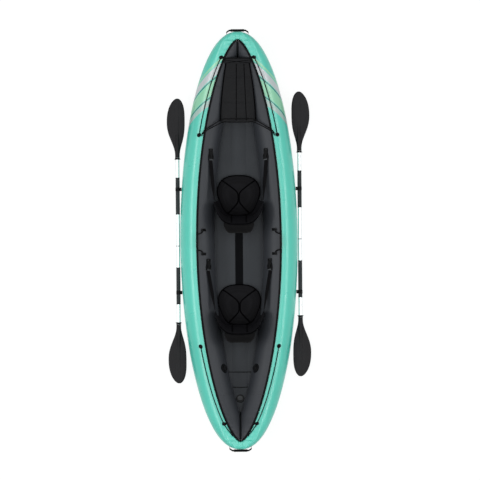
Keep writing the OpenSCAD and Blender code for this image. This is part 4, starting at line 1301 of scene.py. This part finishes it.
@dataclass
class Handles:
    """Carrying handles at bow, stern and sides."""

    hinge_x: float = 84.56
    hinge_y: float = 1633.99
    hinge_z: float = 405.35
    reach: float = 38.0
    end_grip_half: float = 54.0
    end_grip_d: float = 21.0
    axis_x: float = 288.99
    axis_z: float = 288.885
    middle_y: float = -10.0
    span: float = 190.0
    droop: float = 45.0
    side_grip_l: float = 84.0
    side_grip_d: float = 18.0
    rope_r: float = 5.0
    rope_lay: float = 9.0
    tape_width: float = 17.0
    tape_thick: float = 2.5

    @property
    def grip_x(self) -> float:
        """Distance of a side grip from the middle."""
        return FORM.hem(self.middle_y)

    @property
    def grip_z(self) -> float:
        """Height of a side grip, which rests on the hem."""
        return FORM.hem_point(self.middle_y).z + FORM.hem_d / 2 + self.side_grip_d / 2 + 0.8

    def hung(self, rows: Rows) -> Rows:
        """Rows of a level bow handle, let down about its hinge line."""
        c, s = cos_deg(self.droop), sin_deg(self.droop)
        pin = Vector((0, self.hinge_y, self.hinge_z))

        def let_down(point: Vector) -> Vector:
            """Point turned about the hinge line."""
            q = point - pin
            return Vector((q.x, self.hinge_y + c * q.y + s * q.z,
                           self.hinge_z - s * q.y + c * q.z))

        return [[let_down(point) for point in row] for row in rows]

    def grip_profile(self, length: float, radius: float) -> list[tuple[float, float]]:
        """Turned profile of a moulded grip with finger ridges."""
        profile = [(0.0, radius - 3), (0.6, radius - 2)]
        for k in range(49):
            t = k / 48
            ridge = 0.9 * (0.5 + 0.5 * math.cos(math.tau * t * 6)) if 0.06 < t < 0.94 else 0.4
            profile.append((3 + (length - 6) * t, radius - ridge))
        return profile + [(length - 0.6, radius - 2), (length, radius - 3)]

    def end_web(self) -> Rows:
        """Tape of the bow handle, from pin to pin through its grip."""
        side = self.hinge_x + self.tape_thick / 2
        corner = mix(side, self.end_grip_half, 0.55)
        route = [(side, -5), (side, 4), (side, self.reach * 0.4), (corner, self.reach * 0.88),
                 (self.end_grip_half + 1, self.reach)]
        right = [Vector((x, self.hinge_y + out, self.hinge_z)) for x, out in route]
        path = curve_through(right + other_side(right[::-1]), 4)
        return band_rows(path, [Z_AXIS] * len(path), self.tape_width, self.tape_thick)

    def rope_path(self) -> list[Vector]:
        """Middle line of the right side handle's rope."""
        over_z = FORM.hem_point(self.middle_y).z + FORM.hem_d / 2 + self.rope_r + 1.6
        span, end = self.span / 2, self.side_grip_l / 2
        front = [Vector((self.axis_x, span + 10, self.axis_z)),
                 Vector((self.axis_x, span - 14, self.axis_z)),
                 Vector((self.axis_x + 14, span - 26, (self.axis_z + over_z) / 2 + 2)),
                 Vector((self.grip_x - 4, mix(end, span, 0.36), over_z)),
                 Vector((self.grip_x - 3, end + 10, self.grip_z + 4)),
                 Vector((self.grip_x, end + 3, self.grip_z)),
                 Vector((self.grip_x, end - 6, self.grip_z))]
        path = curve_through(front + other_end(front[::-1]), 2.2)
        return [point + Vector((0, self.middle_y, 0)) for point in path]

    def rope_radius(self, run: float, angle: float) -> float:
        """Radius of the rope, with three strands that wind round it."""
        return self.rope_r * (0.95 + 0.05 * cos_deg(3 * angle - 360 * run / self.rope_lay))

    def build(self) -> None:
        """Build and dress the four handles."""
        web = self.hung(self.end_web())
        start = Vector((-self.end_grip_half, self.hinge_y + self.reach, self.hinge_z))
        profile = self.grip_profile(2 * self.end_grip_half, self.end_grip_d / 2)
        grip = self.hung(turned_rows(start, X_AXIS, profile))
        for end in End:
            name, body = end.label, f"{end.label}_handle"
            tape = grid_piece(f"{name}_tape", end.turned(web))
            place(tape, WEBBING, body, "webbing", f"{name}_handle_web")
            hold = grid_piece(f"{name}_grip", end.turned(grip))
            place(hold, NYLON, body, "trim_plastic", f"{name}_handle_grip")
        rope = tube_rows(self.rope_path(), self.rope_radius, 18)
        start = Vector((self.grip_x, self.middle_y - self.side_grip_l / 2, self.grip_z))
        profile = self.grip_profile(self.side_grip_l, self.side_grip_d / 2)
        grip = turned_rows(start, Y_AXIS, profile)
        for side in Side:
            name, body = side.label, f"{side.label}_side_handle"
            cord = grid_piece(f"{name}_side_rope", side.turned(rope))
            place(cord, BUNGEE, body, "bungee", f"{name}_handle_rope")
            hold = grid_piece(f"{name}_side_grip", side.turned(grip))
            place(hold, NYLON, body, "trim_plastic", f"{name}_handle_grip")


@dataclass
class Seat:
    """One seat: pad, backrest, pouch, straps and their sewn trim."""

    name: str
    seat_y: float
    buckle_x: float
    buckle_y: float
    width: float = 340.0
    length: float = 316.0
    height: float = 52.0
    base_z: float = 100.9
    back_half: float = 196.0
    back_height: float = 300.0
    back_thickness: float = 34.0
    wing: float = 145.0
    wing_power: float = 3.8
    taper: float = 0.15
    lean: float = 12.0
    pouch_half: float = 119.0
    pouch_depth: float = 78.0
    strap_share: float = 0.6
    strap_width: float = 32.0
    strap_thick: float = 2.5
    edge_share: float = 0.42
    pad_shrink: float = 10.0
    pad_swell: float = 14.0
    back_shrink: float = 8.0
    back_swell: float = 12.0
    pressure: float = 5.0
    sewn_half: float = 5.0
    back_seam: float = 0.3
    gusset_thick: float = 1.6
    # The welt and the pad's seam cords, as half width and half height: near black and drawn wide,
    # they are piping and also painted shade along the pad's sides and seams
    welt_and_side_shade: tuple[float, float] = (5.0, 4.0)
    pad_cord_and_seam_shade: tuple[float, float] = (5.5, 2.6)
    back_cord: tuple[float, float] = (4.5, 2.6)
    cord_proud: float = 0.4
    binding_r: float = 4.0
    pad_seam: tuple[tuple[float, float], ...] = (
        (-0.372, 0.372), (-0.2, 0.24), (-0.04, 0.09), (-0.012, -0.05), (-0.04, -0.2),
        (-0.245, -0.44))

    @property
    def edge_z(self) -> float:
        """Height of the pad's sewn edge."""
        return self.base_z + self.height * self.edge_share

    @property
    def hinge(self) -> Vector:
        """Middle of the backrest's hinge line."""
        return Vector((0, self.seat_y - self.length / 2 - 5.5, self.edge_z))

    @property
    def lean_run(self) -> float:
        """How far the backrest leans back for each millimetre of its height."""
        return math.tan(math.radians(self.lean))

    @property
    def body(self) -> str:
        """Body that the backrest rides on."""
        return f"{self.name}_back"

    def outline(self, angle: float) -> tuple[float, float]:
        """Outline of the pad at an angle in degrees."""
        v = signed_power(sin_deg(angle), 0.77)
        drawn_in = self.taper * ease((0.3 - v) / 0.9)
        x = self.width / 2 * signed_power(cos_deg(angle), 0.77) * (1 - drawn_in)
        return x, self.length / 2 * v

    def seam_lines(self) -> list[list[Vector]]:
        """Sewn lines of the pad in plan."""
        left = [Vector((x * self.width, y * self.length + self.seat_y, 0))
                for x, y in self.pad_seam]
        return [left, other_side(left)]

    def seam_distance(self, point: Vector) -> float:
        """Distance in plan from a point to the nearest sewn line."""
        best = 1e9
        for line in self.seam_lines():
            for a, b in zip(line, line[1:]):
                run = b - a
                flat = Vector((point.x, point.y, 0)) - a
                t = max(0.0, min(1.0, flat.dot(run) / run.length_squared))
                best = min(best, (flat - run * t).length)
        return best

    def pad_rows(self) -> Rows:
        """Rings of the pad before it swells."""
        edge = self.height * self.edge_share
        crown = self.height - self.pad_shrink - edge
        levels = [(0.3, 0.0), (0.6, 0.0), (0.9, 0.0), (0.975, edge * 0.4), (1.0, edge)]
        levels += [(s, edge + crown * (1 - s ** 3) ** 0.7)
                   for s in (0.97, 0.92, 0.84, 0.74, 0.62, 0.48, 0.32, 0.14)]
        ring = [self.outline(360 * k / 72) for k in range(72)]
        return [[Vector((share * x, share * y + self.seat_y, self.base_z + z)) for x, y in ring]
                for share, z in levels]

    def back_width(self, t: float) -> float:
        """Half width of the backrest at a share of its height."""
        h = self.back_half
        return (0.53 * h + 0.47 * h * sin_deg(90 * min(1.0, t / 0.55)) ** 1.5
                - 0.24 * h * (max(0.0, t - 0.68) / 0.32) ** 2)

    def back_curl(self, x: float, t: float) -> float:
        """How far the backrest curls forwards."""
        return self.wing * (abs(x) / self.back_half) ** self.wing_power * ease(0.1 + 1.8 * t)

    def back_point(self, x: float, t: float, side: int) -> Vector:
        """Point of the backrest's front (1) or rear (-1) face.

        Args:
            x: distance from the middle.
            t: share of the height.
            side: 1 for the front and -1 for the rear.

        Returns:
            The point.
        """
        out = abs(x) / self.back_half
        slope = self.wing_power * self.wing / self.back_half * out ** (self.wing_power - 1)
        rim = (1 - min(1.0, abs(x) / self.back_width(t)) ** 4) * (1 - abs(2 * t - 1) ** 5)
        depth = (5 + (self.back_thickness / 2 - 5) * rim) * math.sqrt(1 + slope * slope)
        z = t * self.back_height * (1 - 0.06 * out ** 2)
        y = self.back_curl(x, t) - self.lean_run * z + side * depth
        return self.hinge + Vector((x, y, z))

    def back_middle(self, x: float, t: float) -> Vector:
        """Point halfway between the backrest's faces."""
        return (self.back_point(x, t, 1) + self.back_point(x, t, -1)) / 2

    def back_rows(self) -> Rows:
        """Rings of the backrest before it swells, with its front face drawn in."""
        rows = []
        for i in range(25):
            t = i / 24
            wide = self.back_width(t)
            calm = self.back_shrink * (1 - abs(2 * t - 1) ** 4)
            xs = [wide * sin_deg(90 * (j / 16 - 1)) for j in range(33)]
            front = [self.back_point(x, t, 1) - Vector((0, calm * (1 - (x / wide) ** 4), 0))
                     for x in xs]
            rows.append(front + [self.back_point(x, t, -1) for x in reversed(xs)])
        return rows

    def pouch_rows(self) -> Rows:
        """Rings of the pouch, gathered under its elastic top."""
        rows = []
        for i in range(25):
            v = i / 24
            t = mix(0.28, 0.96, v)
            inner, outer = [], []
            for j in range(41):
                s = sin_deg(90 * (j / 20 - 1))
                p = self.back_point(s * self.pouch_half, t, -1) - Vector((0, 1.6, 0))
                swell = (1 - abs(s) ** 5) ** 0.6 * sin_deg(180 * v ** 0.8) ** 0.6
                gather = 1 + 0.06 * math.sin(j * 1.9) * ease((v - 0.45) / 0.5)
                bulge = 6 + (self.pouch_depth - 8) * swell * gather
                inner.append(p)
                outer.append(p - Vector((0, bulge + s * s * self.back_curl(self.pouch_half, t), 0)))
            rows.append(inner + outer[::-1])
        return rows

    def strap_path(self) -> list[Vector]:
        """Middle line of the right strap, from its buckle to the wing."""
        x, y, t = self.buckle_x, self.buckle_y, self.strap_share
        start = Vector((x, y - 48.5, FORM.skin_z(x, y) + 7.5))
        end = self.back_point(self.back_width(t), t, 1) + Vector((-2.5, 2, 0))
        sags = [10 * sin_deg(180 * k / 40) for k in range(41)]
        return [start.lerp(end, k / 40) - Vector((0, 0, sag)) for k, sag in enumerate(sags)]

    def build(self, pad: Object | None = None, back: Object | None = None,
              shift: float = 0.0) -> tuple[Object, Object]:
        """Build and dress the seat.

        Args:
            pad: pad of the other seat to copy.
            back: backrest of the other seat to copy.
            shift: distance along Y from the other seat.

        Returns:
            The pad and the backrest.
        """
        move = Vector((0, shift, 0))
        pad = copied(pad, f"{self.name}_pad", move) if pad else self.swell_pad()
        back = copied(back, f"{self.name}_back_cushion", move) if back else self.swell_back()
        place(pad, SEAT, "hull", "seat_fabric", f"{self.name}_seat_pad")
        place(back, BACK, self.body, "seat_fabric", f"{self.name}_backrest")
        pouch = grid_piece(f"{self.name}_mesh_pouch", self.pouch_rows())
        place(pouch, MESH, self.body, "pouch_mesh", f"{self.name}_pouch")
        self.trim_pad(pad)
        self.trim_back(back)
        self.build_gussets()
        self.build_straps()
        return pad, back

    def swell_pad(self) -> Object:
        """Make the pad and swell it between its sewn lines."""
        pad = grid_piece(f"{self.name}_pad", self.pad_rows())
        plump(pad, lambda p: p.z < self.edge_z + 2 or self.seam_distance(p) < self.sewn_half,
              self.pressure, self.pad_swell)
        return pad

    def swell_back(self) -> Object:
        """Make the backrest and swell it between its sewn lines."""
        back = grid_piece(f"{self.name}_back_cushion", self.back_rows())

        def held(p: Vector) -> bool:
            """Tell whether a point lies on the rear face, the rim or a sewn line."""
            q = p - self.hinge
            t = max(0.0, min(1.0, q.z / self.back_height))
            face = q.y - self.back_curl(q.x, t) + self.lean_run * q.z
            rim = self.back_width(t) - abs(q.x)
            sewn = abs(abs(q.x) - self.back_seam * self.back_half) < self.sewn_half
            return face < 2 or rim < 14 or not 0.05 < t < 0.95 or sewn

        plump(back, held, self.pressure, self.back_swell)
        return back

    def trim_pad(self, pad: Object) -> None:
        """Sew the piping and the seam cords onto the finished pad; both are near black and drawn
        wide, so they are also painted shade along the seams and the pad's sides.
        """
        ring = [self.outline(360 * k / 120) for k in range(120)]
        loop = [Vector((x * 1.004, y * 1.004 + self.seat_y, self.edge_z)) for x, y in ring]
        sewn = [grid_piece("welt_and_side_shade", tube_rows(loop, oval(*self.welt_and_side_shade), 10, closed=True))]
        for line in self.seam_lines():
            above = [point + Vector((0, 0, 400)) for point in curve_through(line, 5)]
            path = laid_on(pad, above, DOWN, self.cord_proud)
            sewn.append(grid_piece("seam", tube_rows(path, oval(*self.pad_cord_and_seam_shade), 10)))
        place(join(sewn, f"{self.name}_pad_piping"), PIPING_AND_SHADE_CORDS, "hull", "seat_fabric")

    def trim_back(self, back: Object) -> None:
        """Sew the binding and the seam cords onto the finished backrest."""
        rim = [(self.back_width(k / 40) - 4, k / 40) for k in range(41)]
        top = [(self.back_width(1) * (1 - k / 15), 1.0) for k in range(1, 31)]
        left = [(-x, t) for x, t in reversed(rim[:-1])]
        low = [(self.back_width(0) * (k / 15 - 1), 0.0) for k in range(1, 30)]
        loop = [self.back_middle(x, t) for x, t in rim + top + left + low]
        sewn = [grid_piece("binding", tube_rows(loop, even(self.binding_r), 8, closed=True))]
        shares = [0.06 + 0.88 * k / 40 for k in range(41)]
        for x in (-self.back_seam * self.back_half, self.back_seam * self.back_half):
            ahead = [self.back_point(x, t, 1) + Vector((0, 60, 0)) for t in shares]
            path = laid_on(back, ahead, Vector((0, -1, 0)), self.cord_proud)
            sewn.append(grid_piece("seam", tube_rows(path, oval(*self.back_cord), 10)))
        place(join(sewn, f"{self.name}_back_piping"), PIPING_AND_SHADE_CORDS, self.body, "seat_fabric")

    def gusset_rows(self) -> Rows:
        """Rings of the loose cloth between the pad's right edge and the backrest's wing."""
        rows, thick = [], self.gusset_thick
        for i in range(31):
            u = i / 30
            x, y = self.outline(mix(-6, -76, u))
            low = Vector((x, y + self.seat_y, self.edge_z))
            t = mix(0.53, 0.01, u ** 0.8)
            high = self.back_middle(self.back_width(t) - 3, t)
            out = Vector((high.x - low.x, high.y - low.y, 0)).normalized()
            face = []
            for j in range(13):
                v = j / 12
                slack = (7 + 3 * math.sin(11 * u + 2 * v)) * sin_deg(180 * v)
                face.append(low.lerp(high, v) + out * slack - Z_AXIS * slack)
            rows.append(face + [q + out * thick - Z_AXIS * thick for q in reversed(face)])
        return rows

    def build_gussets(self) -> None:
        """Build the cloth that joins pad and backrest at both sides.
        """
        rows, edge = self.gusset_rows(), self.edge_z
        for side in Side:
            gusset = grid_piece(f"{self.name}_{side.label}_gusset", side.turned(rows))
            BACK.dress(gusset)
            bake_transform(gusset)
            # Cut as a blunt triangle: 160 mm at its wide end and 219 mm along its upper edge
            LOG.info("%s between hull and %s", gusset.name, self.body)

    def build_straps(self) -> None:
        """Build the two straps, which run from the buckles to the backrest's wings."""
        path = self.strap_path()
        tilt = math.degrees(math.atan(FORM.slopes(self.buckle_x, self.buckle_y)[0]))
        turns = [mix(tilt, 80, ease(k / 20 - 1)) for k in range(41)]
        across = [Vector((cos_deg(a), 0, sin_deg(a))) for a in turns]
        rows = band_rows(path, across, self.strap_width, self.strap_thick)
        pair = [grid_piece("strap", side.turned(rows)) for side in Side]
        straps = join(pair, f"{self.name}_straps")
        WEBBING.dress(straps)
        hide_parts(f"{self.name}_seat_straps")
        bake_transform(straps)
        LOG.info("%s between hull and %s", straps.name, self.body)


@dataclass(frozen=True)
class BladeEdge:
    """One edge of a blade: where it is widest, its reach there and the powers of its curve."""

    peak_share: float
    most: float
    tip_power: float
    tip_round: float
    throat_power: float


@dataclass
class Paddle:
    """Blades and grips of one paddle, whose other solids are dressed with the fittings."""

    side: Side
    shift: float
    axis_x: float = 484.0
    axis_z: float = 142.0
    half: float = 1133.0
    blade_length: float = 452.0
    broad: BladeEdge = BladeEdge(0.42, 83.0, 2.2, 0.6, 1.15)
    narrow: BladeEdge = BladeEdge(0.36, 60.0, 2.6, 0.5, 1.6)
    rim: float = 1.6
    dish: float = 1.6
    root: float = 18.5
    swell_ramp: tuple[float, float] = (0.55, 0.32)
    spine_half: float = 12.0
    spine_up: float = 3.4
    spine_down: float = 2.4
    tip_lift: float = 10.0
    plate_drop: float = 5.0
    socket_out: float = 18.0
    grip_start: float = 629.0
    grip_length: float = 294.0
    grip_r: float = 16.5
    grip_bore: float = 15.2

    def reach(self, s: float, edge: BladeEdge) -> float:
        """Reach of a blade's edge from the shaft axis at a distance from the tip."""
        peak = self.blade_length * edge.peak_share
        if s >= self.blade_length:
            return self.root
        if s < peak:
            return edge.most * (1 - (1 - s / peak) ** edge.tip_power) ** edge.tip_round
        run = ((s - peak) / (self.blade_length - peak)) ** edge.throat_power
        return self.root + (edge.most - self.root) * (1 + cos_deg(180 * run)) / 2

    def blade_row(self, s: float) -> list[Vector]:
        """Section of the blade at a distance from its tip, swelling into the round socket."""
        f = min(1.0, s / self.blade_length)
        swell = ease((f - self.swell_ramp[0]) / self.swell_ramp[1])
        o, i = self.reach(s, self.broad), self.reach(s, self.narrow)
        lift = self.tip_lift * (1 - f) ** 2
        low = lift - self.plate_drop * (1 - swell)
        c = min(mix(self.spine_half, self.root, swell),
                0.72 * min(o, i) + 0.28 * self.root * swell)
        up = mix(self.spine_up, self.root, swell)
        down = mix(self.spine_down, self.root, swell)
        y, rim = self.half - s, self.rim

        def wing(reach: float, top: int) -> list[tuple[float, float]]:
            """Dished plate from the spine's foot out to one edge."""
            foot_x, foot_z = c * 0.94, lift + (up if top > 0 else -down) * 0.34
            points = []
            for k in range(1, 8):
                t = k / 8
                z = mix(foot_z, low + top * rim, ease(t))
                z += self.dish * math.sin(math.pi * t) * (1 - swell)
                points.append((mix(foot_x, reach, t), z))
            return points

        over = [(o, low + 0.6 * rim), (o - 0.6, low + rim)] + wing(o, 1)[::-1]
        over += [(c * cos_deg(a), lift + up * sin_deg(a)) for a in range(20, 161, 10)]
        over += [(-x, z) for x, z in wing(i, 1)] + [(0.6 - i, low + rim), (-i, low + 0.6 * rim)]
        under = [(-i, low - 0.6 * rim), (0.6 - i, low - rim)]
        under += [(-x, z) for x, z in wing(i, -1)[::-1]]
        under += [(c * cos_deg(a), lift + down * sin_deg(a)) for a in range(200, 341, 10)]
        under += wing(o, -1) + [(o - 0.6, low - rim), (o, low - 0.6 * rim)]
        return [Vector((x, y, z)) for x, z in over + under]

    def moved(self, rows: Rows, end: End) -> Rows:
        """Rows made for the front half, put where the paddle lies."""
        out, ahead = self.side.value, end.value
        return [[Vector((out * (self.axis_x + p.x), self.shift + ahead * p.y, self.axis_z + p.z))
                 for p in row] for row in rows]

    def grip_rows(self) -> Rows:
        """Rings of a foam grip with shallow bands near its ends."""
        profile = [(0.0, self.grip_bore), (0.0, self.grip_r - 1.2), (1.2, self.grip_r - 0.3)]
        for k in range(99):
            d = 3 + (self.grip_length - 6) * k / 98
            near = min(d, self.grip_length - d)
            groove = 0.7 if 14 < near < 18 or 24 < near < 28 else 0.0
            profile.append((d, self.grip_r - groove))
        end = self.grip_length
        profile += [(end - 1.2, self.grip_r - 0.3), (end, self.grip_r - 1.2),
                    (end, self.grip_bore)]
        start = Vector((0, self.half - self.grip_start - self.grip_length, 0))
        return turned_rows(start, Y_AXIS, profile)

    def build(self) -> None:
        """Build and dress the paddle's blades and grips."""
        name = self.side.label
        shares = [0.004, 0.012, 0.025, 0.045, 0.07] + [0.1 + 0.9 * k / 44 for k in range(45)]
        blade = [self.blade_row(s * self.blade_length) for s in shares]
        blade.append(self.blade_row(self.blade_length + self.socket_out))
        grip = self.grip_rows()
        for end, half, body in ((End.BOW, "front", f"{name}_paddle"),
                                (End.STERN, "rear", f"{name}_paddle_rear")):
            piece = grid_piece(f"{name}_{half}_paddle_blade", self.moved(blade, end))
            place(piece, BLADE, body, "blade_plastic", f"{name}_{half}_blade")
            piece = grid_piece(f"{name}_{half}_foam", self.moved(grip, end))
            place(piece, FOAM, body, "grip_foam", f"{name}_{half}_grip")


@dataclass
class Fittings:
    """Moulded pieces that keep their own solids, and the welded patches under them."""

    finishes: tuple[tuple[str, Finish], ...] = (
        ("cord_tabs", NYLON), ("side_handle_tabs", NYLON), ("valve", VALVE), ("drain_body", VALVE),
        ("drain_cap", CAP), ("buckles", NYLON), ("shaft", SHAFT), ("sleeve", SLEEVE),
        ("button", STEEL), ("drip_ring", RUBBER), ("clips", NYLON))
    patch_shape: tuple[tuple[float, float], ...] = (
        (0.1, 0.9), (0.35, 0.9), (0.6, 0.9), (0.82, 0.9), (0.95, 0.85), (1.0, 0.5), (1.0, -0.6),
        (0.6, -0.6), (0.1, -0.6))
    wide_tab_r: float = 17.0
    narrow_tab_r: float = 15.0
    valve_spot: tuple[float, float, float] = (124.0, -1014.0, 36.0)
    drain_shape: tuple[tuple[float, float], ...] = (
        (0.5, 0.9), (0.8, 0.9), (0.97, 0.8), (1.0, 0.3), (1.0, -1.0), (0.5, -1.0))
    drain_y: float = -1255.8
    drain_r: float = 33.0
    bar_back: float = 42.5
    bar_up: float = 12.4
    bar_half: int = 17
    bar_width: float = 5.5
    bar_thick: float = 2.6

    def dress(self) -> None:
        """Put a finish on every solid that still shows."""
        for name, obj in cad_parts.items():
            if obj.hide_render:
                continue
            finish = next((f for part, f in self.finishes if part in name), NYLON)
            finish.dress(obj)
            LOG.info("%s dressed as %s", name, finish.name)

    def skin_patch(self, x: float, y: float, radius: float) -> Rows:
        """Rings of a welded patch that lies on the right tube's skin.

        Args:
            x: place across the hull.
            y: place along the hull.
            radius: half size of the patch.

        Returns:
            The rings.
        """
        rows = []
        a, b = FORM.tube_a(y), FORM.tube_b(y)
        h = (x - FORM.tube_x(y)) / a
        middle = math.degrees(math.acos(signed_power(h, 1.0 if h >= 0 else FORM.crease(y) / 2)))
        per_mm = math.degrees(1 / math.hypot(a * sin_deg(middle), b * cos_deg(middle)))
        for share, out in self.patch_shape:
            ring = []
            for k in range(40):
                angle = middle - share * radius * cos_deg(9 * k) * per_mm
                ring.append(FORM.tube_point(y + share * radius * sin_deg(9 * k), angle, out))
            rows.append(ring)
        return rows

    def buckle_bar(self, x: float, y: float) -> Rows:
        """Rings of the light bar across the rear of the right buckle.

        Args:
            x: place of the buckle across the hull.
            y: place of the buckle along it.

        Returns:
            The rings.
        """
        slope_x, slope_y = FORM.slopes(x, y)
        over = Vector((1, 0, slope_x)).normalized()
        along = Vector((0, 1, slope_y)).normalized()
        middle = Vector((x, y, FORM.skin_z(x, y))) - along * self.bar_back
        middle += over.cross(along) * self.bar_up
        path = [middle + over * u for u in range(-self.bar_half, self.bar_half + 1, 2)]
        return band_rows(path, [along] * len(path), self.bar_width, self.bar_thick)

    def drain_patch(self, hull: Hull) -> Rows:
        """Rings of the welded round patch under the drain."""
        rows = []
        for share, out in self.drain_shape:
            r = self.drain_r * share
            ring = [(r * cos_deg(9 * k), r * sin_deg(9 * k) + self.drain_y) for k in range(40)]
            rows.append([Vector((x, y, hull.deck_z(x, y) + out)) for x, y in ring])
        return rows

    def build(self, hull: Hull, deck: Deck, buckles: Sequence[tuple[float, float]]) -> None:
        """Build the patches under tabs, valves and drain, and the bars of the buckles.

        Args:
            hull: hull whose floor carries the drain.
            deck: deck whose tabs the patches carry.
            buckles: places of the right buckles.
        """
        tabs = ((deck.wide_tab_y, self.wide_tab_r), (deck.narrow_tab_y, self.narrow_tab_r))
        spots = [(deck.tab_out(y), end.value * y, r) for end in End for y, r in tabs]
        welded = [self.skin_patch(*spot) for spot in spots + [self.valve_spot]]
        patches = [grid_piece("patch", self.drain_patch(hull))]
        patches += [grid_piece("patch", side.turned(rows)) for side in Side for rows in welded]
        place(join(patches, "welded_patches"), HEM, "hull", "hem_pvc")
        bars = [grid_piece("bar", side.turned(self.buckle_bar(x, y)))
                for x, y in buckles for side in Side]
        place(join(bars, "buckle_bars"), ACETAL, "hull", "trim_plastic")


@dataclass
class Studio:
    """Camera, lamps and floor of the photograph, in metres and watts."""

    height: float = 45.0
    centre: tuple[float, float] = (0.008, 0.004)
    focus_z: float = 0.28
    view_width: float = 3.803
    roll: float = -0.45
    sensor: float = 36.0
    lamp_height: float = 5.0
    lamp_length: float = 5.0
    fill: float = 0.3
    paper_size: float = 40.0
    glow: float = 1.12
    glow_share: float = 0.8
    # Place across the hull, power and width of each lamp
    lamps: tuple[tuple[float, float, float], ...] = (
        (0.0, 112.0, 5.0), (-4.8, 112.0, 0.8), (5.4, 92.0, 0.8))

    def camera(self) -> None:
        """Set the camera straight above the hull."""
        bpy.ops.object.camera_add(location=(*self.centre, self.height),
                                  rotation=(0, 0, math.radians(self.roll)))
        camera = bpy.context.object
        camera.data.sensor_width = self.sensor
        camera.data.lens = self.sensor * (self.height - self.focus_z) / self.view_width
        camera.data.clip_end = 200.0
        bpy.context.scene.camera = camera

    def lights(self) -> None:
        """Hang a broad lamp above and a long one at each side, and fill with an even world."""
        for x, power, size in self.lamps:
            bpy.ops.object.light_add(type="AREA", location=(x, -0.2, self.lamp_height),
                                     rotation=(0, math.atan2(x, self.lamp_height), 0))
            lamp = bpy.context.object
            lamp.data.energy = power
            lamp.data.shape = "RECTANGLE"
            lamp.data.size, lamp.data.size_y = size, self.lamp_length
        world = bpy.data.worlds.new("even_white")
        bpy.context.scene.world = world
        world.use_nodes = True
        tree = world.node_tree
        level = ranged(tree, self.seen(tree), self.fill, 1.0)
        background = tree.nodes["Background"]
        background.inputs["Color"].default_value = linear("#ffffff")
        tree.links.new(level, background.inputs["Strength"])

    def seen(self, tree: NodeTree) -> NodeSocket:
        """Return 1 for rays from the camera, a reflection or glass, and 0 for others."""
        path = add(tree, "ShaderNodeLightPath").outputs
        first = calc(tree, "MAXIMUM", path["Is Camera Ray"], path["Is Glossy Ray"])
        return calc(tree, "MAXIMUM", first, path["Is Transmission Ray"])

    def floor(self) -> None:
        """Lay a pale floor that shows white and keeps a faint shadow."""
        bpy.ops.object.select_all(action="DESELECT")
        bpy.ops.mesh.primitive_plane_add(size=self.paper_size, location=(0, 0, -0.001))
        floor = bpy.context.object
        floor.name = "studio_floor"
        paper = bpy.data.materials.new("matt_white_paper")
        paper.use_nodes = True
        tree = paper.node_tree
        tree.nodes.remove(tree.nodes["Principled BSDF"])
        matt = add(tree, "ShaderNodeBsdfDiffuse", None, {"Color": linear("#f4f4f4")})
        glow = add(tree, "ShaderNodeEmission", None,
                   {"Color": linear("#ffffff"), "Strength": self.glow})
        share = calc(tree, "MULTIPLY", self.seen(tree), self.glow_share)
        both = add(tree, "ShaderNodeMixShader", None,
                   {0: share, 1: matt.outputs[0], 2: glow.outputs[0]})
        tree.links.new(both.outputs[0], tree.nodes["Material Output"].inputs["Surface"])
        floor.data.materials.append(paper)

    def build(self) -> None:
        """Set up the camera, lamps and floor."""
        bpy.context.scene.view_settings.view_transform = "Standard"
        self.camera()
        self.lights()
        self.floor()


def main() -> None:
    """Build the dressed kayak piece by piece."""
    logging.basicConfig(level=logging.INFO, format="%(name)s: %(message)s")
    Studio().build()
    hull, deck = Hull(), Deck()
    hull.build()
    deck.build()
    Handles().build()
    front = Seat("front", seat_y=357.0, buckle_x=220.0, buckle_y=684.0)
    rear = Seat("rear", seat_y=-511.0, buckle_x=246.0, buckle_y=-190.0)
    pad, back = front.build()
    rear.build(pad, back, rear.seat_y - front.seat_y)
    for paddle in (Paddle(Side.RIGHT, shift=49.0), Paddle(Side.LEFT, shift=0.0)):
        paddle.build()
    fittings = Fittings()
    fittings.build(hull, deck, [(seat.buckle_x, seat.buckle_y) for seat in (front, rear)])
    fittings.dress()


if __name__ == "__main__":
    main()
